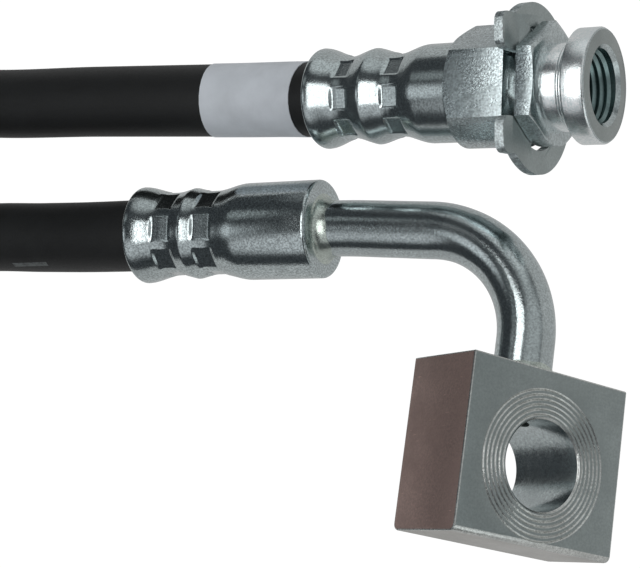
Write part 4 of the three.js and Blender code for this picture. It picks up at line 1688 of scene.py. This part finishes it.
@dataclass
class BoltBlock:
    """Block for a hollow bolt, with sealing grooves around both ends of its bore.

    Args:
        tube_radius: radius of the tube that is brazed into it.
        width: its length across the tube.
        height: its length along the tube.
        thickness: from one flat face to the other.
        edge: rounding of its two far edges.
        broken: width of its broken edges.
        bore_radius: radius of the bolt's bore.
        bore_depth: from the tube's side to the bore's middle.
        chamfer: chamfer of the bore.
        socket: depth of the tube's seat.
        passage: radius of the way from the tube to the bore.
        groove_first: radius of the innermost groove.
        groove_pitch: from one groove to the next.
        groove_count: grooves on each face.
        groove_width: width of a groove at the face.
        groove_depth: depth of a groove.
    """

    tube_radius: float = 3.9 * MM
    width: float = 24.9 * MM
    height: float = 22.1 * MM
    thickness: float = 12.5 * MM
    edge: float = 0.9 * MM
    broken: float = 0.2 * MM
    bore_radius: float = 5.75 * MM
    bore_depth: float = 11.95 * MM
    chamfer: float = 0.25 * MM
    socket: float = 3.0 * MM
    passage: float = 1.7 * MM
    groove_first: float = 6.3 * MM
    groove_pitch: float = 0.62 * MM
    groove_count: int = 6
    groove_width: float = 0.32 * MM
    groove_depth: float = 0.13 * MM

    def build(self, looks: dict[Look, bpy.types.Material]) -> bpy.types.Object:
        """Makes the block with the tube's end at the middle of its top, and coats it.

        Args:
            looks: finishes of the metal.

        Returns:
            The block, in its own frame.
        """
        half = self.thickness / 2
        block = box("bolt_block", (-half, -self.height, -self.width / 2), (half, 0, self.width / 2))
        with editing(block) as mesh:
            bpy.ops.mesh.select_mode(type="EDGE")
            bpy.ops.mesh.select_all(action="DESELECT")
            for edge in mesh.edges:
                a, b = (v.co for v in edge.verts)
                along = abs((b - a).normalized().z) > ALONG
                edge.select_set(along and max(a.y, b.y) < -self.height / 2)
            bmesh.update_edit_mesh(block.data)
            bpy.ops.mesh.bevel(offset=self.edge, segments=8, affect="EDGES")
            bpy.ops.mesh.select_mode(type="VERT")
        soften(block, self.broken, angle=50)
        coat(block, looks[Look.BLOCK], whole)
        # The sides' brown is a painted reflection
        coat(block, looks[Look.SAWN], lambda face: abs(face.normal.z) > ALONG)
        # Lighter rounded and broken edges: painted highlight
        coat(block, looks[Look.WORN], lambda face: max(map(abs, face.normal)) < FACING)
        # Lighter foot: painted reflection of the floor
        coat(block, looks[Look.MILLED], lambda face: face.normal.y < -FACING)
        tools = [self.bore(), *self.grooves(half, -1), *self.grooves(-half, 1)]
        cutter = fuse("cutter", *tools)
        cutter.location = (0, -self.bore_depth, 0)
        settle(cutter)
        carve(block, cutter, Boolean.CUT)
        socket = rod("socket", -MM, self.socket, self.tube_radius + SEAT_GAP)
        passage = rod("passage", 0, self.bore_depth, self.passage)
        for tool in (socket, passage):
            tool.rotation_euler = (0, 0, -math.pi / 2)
            settle(tool)
            carve(block, tool, Boolean.CUT)
        coat(block, looks[Look.BORED], self.in_bore)
        # Lighter groove slopes and bore chamfers: painted highlight
        coat(block, looks[Look.WORN], self.in_groove)
        shade(block, angle=28)
        return block

    def in_bore(self, face: bpy.types.MeshPolygon) -> bool:
        """Test for the faces of the bolt's bore, between its chamfers."""
        from_axis = math.hypot(face.center.y + self.bore_depth, face.center.z)
        return from_axis < self.bore_radius + self.chamfer / 4 and abs(face.normal.x) < 0.1

    def in_groove(self, face: bpy.types.MeshPolygon) -> bool:
        """Test for the sloping faces of the grooves and of the bore's chamfers.

        Args:
            face: a face of the block.

        Returns:
            Whether it is one of them.
        """
        from_axis = math.hypot(face.center.y + self.bore_depth, face.center.z)
        outermost = self.groove_first + self.groove_count * self.groove_pitch
        return self.bore_radius < from_axis < outermost and 0.3 < abs(face.normal.x) < FACING

    def bore(self) -> bpy.types.Object:
        """Cutter for the bolt's bore, with a small chamfer at both faces.

        Returns:
            The cutter, with its middle at the origin.
        """
        half, wide = self.thickness / 2, self.bore_radius + self.chamfer
        profile = [
            (-half - MM, 0.0),
            (-half - MM, wide),
            (-half, wide),
            (self.chamfer - half, self.bore_radius),
        ]
        profile += [(-x, radius) for x, radius in reversed(profile)]
        return spun("bore", profile, ROUND_SIDES, ring=False)

    def grooves(self, face: float, into: int) -> list[bpy.types.Object]:
        """Cutters for the sealing grooves of one face.

        Args:
            face: place of the face along X.
            into: 1 or -1, the way into the block.

        Returns:
            The cutters.
        """
        rings = []
        for i in range(self.groove_count):
            radius = self.groove_first + i * self.groove_pitch
            above, below = face - into * self.groove_depth, face + into * self.groove_depth
            inner, outer = radius - self.groove_width, radius + self.groove_width
            rings.append(spun(f"groove_{i}", [(above, inner), (below, radius), (above, outer)]))
        return rings


def whole(face: bpy.types.MeshPolygon) -> bool:
    """Test that any face passes."""
    return True


def coat(
    piece: bpy.types.Object,
    finish: bpy.types.Material,
    wanted: Callable[[bpy.types.MeshPolygon], bool],
) -> None:
    """Gives a finish to the faces of a piece that pass a test.

    Args:
        piece: the mesh object.
        finish: the material.
        wanted: the test.
    """
    piece.data.materials.append(finish)
    last = len(piece.data.materials) - 1
    for face in piece.data.polygons:
        if wanted(face):
            face.material_index = last


def dress(piece: bpy.types.Object, node: str) -> None:
    """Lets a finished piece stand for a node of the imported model.

    Args:
        piece: the finished object.
        node: the node's name.
    """
    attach(piece, "root")
    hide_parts(node)


@dataclass(frozen=True)
class Glow:
    """Soft round patch of light in the room around the object.

    Args:
        azimuth: direction of its middle, in degrees from +X towards +Y.
        height: height of its middle over the floor, in degrees.
        core: how far it is at its full strength, in degrees from the middle.
        reach: where it has faded out, in degrees from the middle.
        colour: its colour, linear.
        strength: its strength.
    """

    azimuth: float
    height: float
    core: float
    reach: float
    colour: tuple[float, float, float]
    strength: float

    def way(self) -> tuple[float, float, float]:
        """Unit vector from the object to the middle of the patch."""
        around, up = math.radians(self.azimuth), math.radians(self.height)
        return math.cos(up) * math.cos(around), math.cos(up) * math.sin(around), math.sin(up)


@dataclass(frozen=True)
class Panel:
    """Soft box that hangs level over the object and shines down.

    Args:
        middle: place of its middle.
        size: its lengths along X and Y.
        strength: its brightness, on the scale of the glows.
        power: energy for each square metre at a strength of 1.
    """

    middle: tuple[float, float, float]
    size: tuple[float, float]
    strength: float
    power: float = 4.0

    def build(self) -> None:
        """Makes the light, which the camera doesn't see."""
        data = bpy.data.lights.new("panel", "AREA")
        data.shape = "RECTANGLE"
        data.size, data.size_y = self.size
        data.energy = self.power * self.size[0] * self.size[1] * self.strength
        panel = bpy.data.objects.new("panel", data)
        panel.location = self.middle
        panel.visible_camera = False
        bpy.context.scene.collection.objects.link(panel)


@dataclass
class Studio:
    """Camera, floor and lights.

    Args:
        camera_place: place of the camera.
        right: way of the picture's right side.
        up: way of the picture's top.
        lens: focal length, in millimetres.
        sensor: width of the picture behind the lens, in millimetres.
        backdrop: colour of all that the camera sees behind the object.
        bounce: brightness of the floor as the object sees it.
        floor_size: length of the floor's side.
        dimness: light of the room without its patches.
        panel: the soft box.
        glows: the soft patches of light.
    """

    camera_place: tuple[float, float, float] = (87.388 * MM, -5.584 * MM, 218.734 * MM)
    right: tuple[float, float, float] = (0.91214933, -0.00819646, -0.40977607)
    up: tuple[float, float, float] = (0.01859227, 0.99959828, 0.02139158)
    lens: float = 93.53
    sensor: float = 36.0
    backdrop: tuple[float, float, float] = (1.0, 1.0, 1.0)
    bounce: float = 0.46
    floor_size: float = 6.0
    dimness: tuple[float, float, float] = (0.05, 0.055, 0.06)
    panel: Panel = Panel((4 * MM, 32 * MM, 200 * MM), (102 * MM, 184 * MM), 1.8)
    glows: tuple[Glow, ...] = (
        Glow(245, 52, 10, 30, (0.97, 0.98, 1.0), 0.55),
        Glow(180, 48, 6, 18, (0.95, 0.98, 1.0), 0.7),
        Glow(135, 42, 5, 11, (0.94, 1.0, 1.0), 0.3),
        Glow(318, 10, 10, 30, (0.96, 1.0, 1.0), 0.9),
        Glow(80, 12, 15, 34, (0.98, 1.0, 1.0), 0.6),
        Glow(20, 35, 15, 45, (0.98, 1.0, 1.0), 0.45),
    )

    def build(self) -> None:
        """Makes the whole studio."""
        self.camera()
        self.floor()
        self.room()
        self.panel.build()
        bpy.context.scene.view_settings.view_transform = "Standard"

    def camera(self) -> None:
        """Camera at the photograph's angle."""
        data = bpy.data.cameras.new("camera")
        data.lens, data.sensor_width = self.lens, self.sensor
        data.clip_start, data.clip_end = 1 * MM, 10.0
        camera = bpy.data.objects.new("camera", data)
        bpy.context.scene.collection.objects.link(camera)
        right, up = Vector(self.right), Vector(self.up)
        turn = Matrix((right, up, right.cross(up))).transposed().to_4x4()
        camera.matrix_world = Matrix.Translation(self.camera_place) @ turn
        bpy.context.scene.camera = camera

    def floor(self) -> None:
        """Plain pale floor, lit evenly from below as a light table is."""
        bpy.ops.mesh.primitive_plane_add(size=self.floor_size)
        floor = named("floor")
        finish = bpy.data.materials.new("floor_paper")
        finish.use_nodes = True
        nodes = Nodes(finish.node_tree)
        seen = nodes.add("LightPath").outputs["Is Camera Ray"]
        glow = nodes.blend(seen, (*(self.bounce,) * 3, 1.0), (*self.backdrop, 1.0))
        shader = nodes.add("BsdfPrincipled", {
            "Base Color": (0.1, 0.1, 0.1, 1.0),
            "Roughness": 1.0,
            "Specular IOR Level": 0.0,
            "Emission Color": glow,
            "Emission Strength": 1.0,
        })
        nodes.add("OutputMaterial", {"Surface": shader.outputs[0]})
        floor.data.materials.append(finish)

    def room(self) -> None:
        """Dim room with soft patches of light; the camera sees a plain pale backdrop in its place."""
        world = bpy.data.worlds.new("room")
        world.use_nodes = True
        bpy.context.scene.world = world
        nodes = Nodes(world.node_tree)
        way = nodes.add("TexCoord").outputs["Generated"]
        total = (*self.dimness, 1.0)
        for glow in self.glows:
            towards = nodes.add("VectorMath", {0: way, 1: glow.way()}, operation="DOT_PRODUCT")
            low, high = (math.cos(math.radians(a)) for a in (glow.reach, glow.core))
            ramp = {
                "Value": towards.outputs["Value"],
                "From Min": low,
                "From Max": high,
                "To Max": glow.strength,
            }
            share = nodes.add("MapRange", ramp, interpolation_type="SMOOTHSTEP").outputs["Result"]
            tinted = nodes.add("VectorMath", {0: glow.colour, "Scale": share}, operation="SCALE").outputs[0]
            total = nodes.blend(1.0, total, tinted, "ADD")
        seen = nodes.add("LightPath").outputs["Is Camera Ray"]
        colour = nodes.blend(seen, total, (*self.backdrop, 1.0))
        lit = nodes.add("Background", {"Color": colour})
        nodes.add("OutputWorld", {"Surface": lit.outputs[0]})


def metal_looks() -> dict[Look, bpy.types.Material]:
    """Builds the finishes of all metal surfaces.

    Returns:
        A material for each look.
    """
    # Some of these colours carry painted light: the block's brown sides and light foot are painted
    # reflections, its light edges and the bright neck are painted highlights, the nose face and the inner
    # steel are painted shade
    zinc, dull, brown = (0.52, 0.58, 0.585), (0.42, 0.47, 0.465), (0.56, 0.41, 0.37)
    drawn, plain, foot = (0.44, 0.50, 0.51), (0.355, 0.402, 0.398), (0.54, 0.53, 0.50)
    worn, nose_shade_colour, bright = (0.64, 0.66, 0.64), (0.36, 0.40, 0.39), (0.88, 0.97, 0.98)
    shaded, braze = (0.24, 0.33, 0.33), (0.58, 0.64, 0.59)
    at = ELBOW_PLACE
    finishes = {
        Look.TURNED: dict(colour=zinc, roughness=0.17, grain=0.7, turning=0.8),
        Look.DRAWN: dict(colour=drawn, roughness=0.24, grain=4.0, waves=2.0, specks=0.45),
        Look.SHELL: dict(colour=zinc, roughness=0.14, place=at, grain=1.2, specks=0.4),
        Look.TUBE: dict(colour=zinc, roughness=0.13, place=at, waves=1.4),
        Look.BLOCK: dict(colour=plain, roughness=0.34, place=at, grain=0.4, waves=0.5, specks=0.1),
        # The sides' brown is a painted reflection; the waves, patches and scratches over it are marks of the
        # metal
        Look.SAWN: dict(
            colour=brown, roughness=0.45, place=at, waves=2.0, patches=1.0, specks=0.12, scratches=0.8
        ),
        # Lighter edges and groove slopes of the block: painted highlight
        Look.WORN: dict(colour=worn, roughness=0.25, place=at, grain=3.0),
        # Lighter foot of the block: painted reflection of the floor
        Look.MILLED: dict(colour=foot, roughness=0.32, place=at, waves=2.0, specks=0.1),
        Look.BORED: dict(colour=zinc, roughness=0.15, place=at, grain=0.8, waves=2.0),
        # Darker nose face: painted shade
        Look.FACED: dict(colour=nose_shade_colour, roughness=0.3, grain=0.8, specks=0.12),
        # Brighter neck and nose: painted highlight; the turning marks are real
        Look.BRIGHT: dict(colour=bright, roughness=0.24, turning=1.2, specks=0.15),
        Look.STAMPED: dict(colour=dull, roughness=0.42, waves=0.5, specks=0.1),
        Look.SHEARED: dict(colour=zinc, roughness=0.28, grain=6.0, waves=3.0, specks=0.4),
        # Darker inner steel: painted shade of the recesses
        Look.INNER: dict(colour=shaded, roughness=0.26, specks=0.15),
        Look.BRAZE: dict(colour=braze, roughness=0.24, place=at, grain=2.0, waves=4.0),
    }
    plating, turning = plating_group(), turning_group()
    return {
        look: PlatedFinish(name=look.value, **values).material(plating, turning)
        for look, values in finishes.items()
    }


def main() -> None:
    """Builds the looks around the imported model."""
    logging.basicConfig(level=logging.INFO, format="%(name)s: %(message)s")
    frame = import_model()
    Studio().build()
    rubber = RubberFinish("hose_rubber", (0.006, 0.0068, 0.007), 0.55).material()
    film = FilmFinish("label_film", (0.74, 0.78, 0.83), 0.5).material()
    Hose().build(rubber, film)
    looks = metal_looks()
    PortEnd().build(looks)
    ElbowEnd().build(looks)
    # The nipples take the dark inner finish: painted shade
    for node in ("port_nipple", "elbow_nipple"):
        inner = frame["nodes"][node]
        inner.data.materials.clear()
        inner.data.materials.append(looks[Look.INNER])
        log.info("%s keeps its solid, with a new finish", node)


if __name__ == "__main__":
    main()
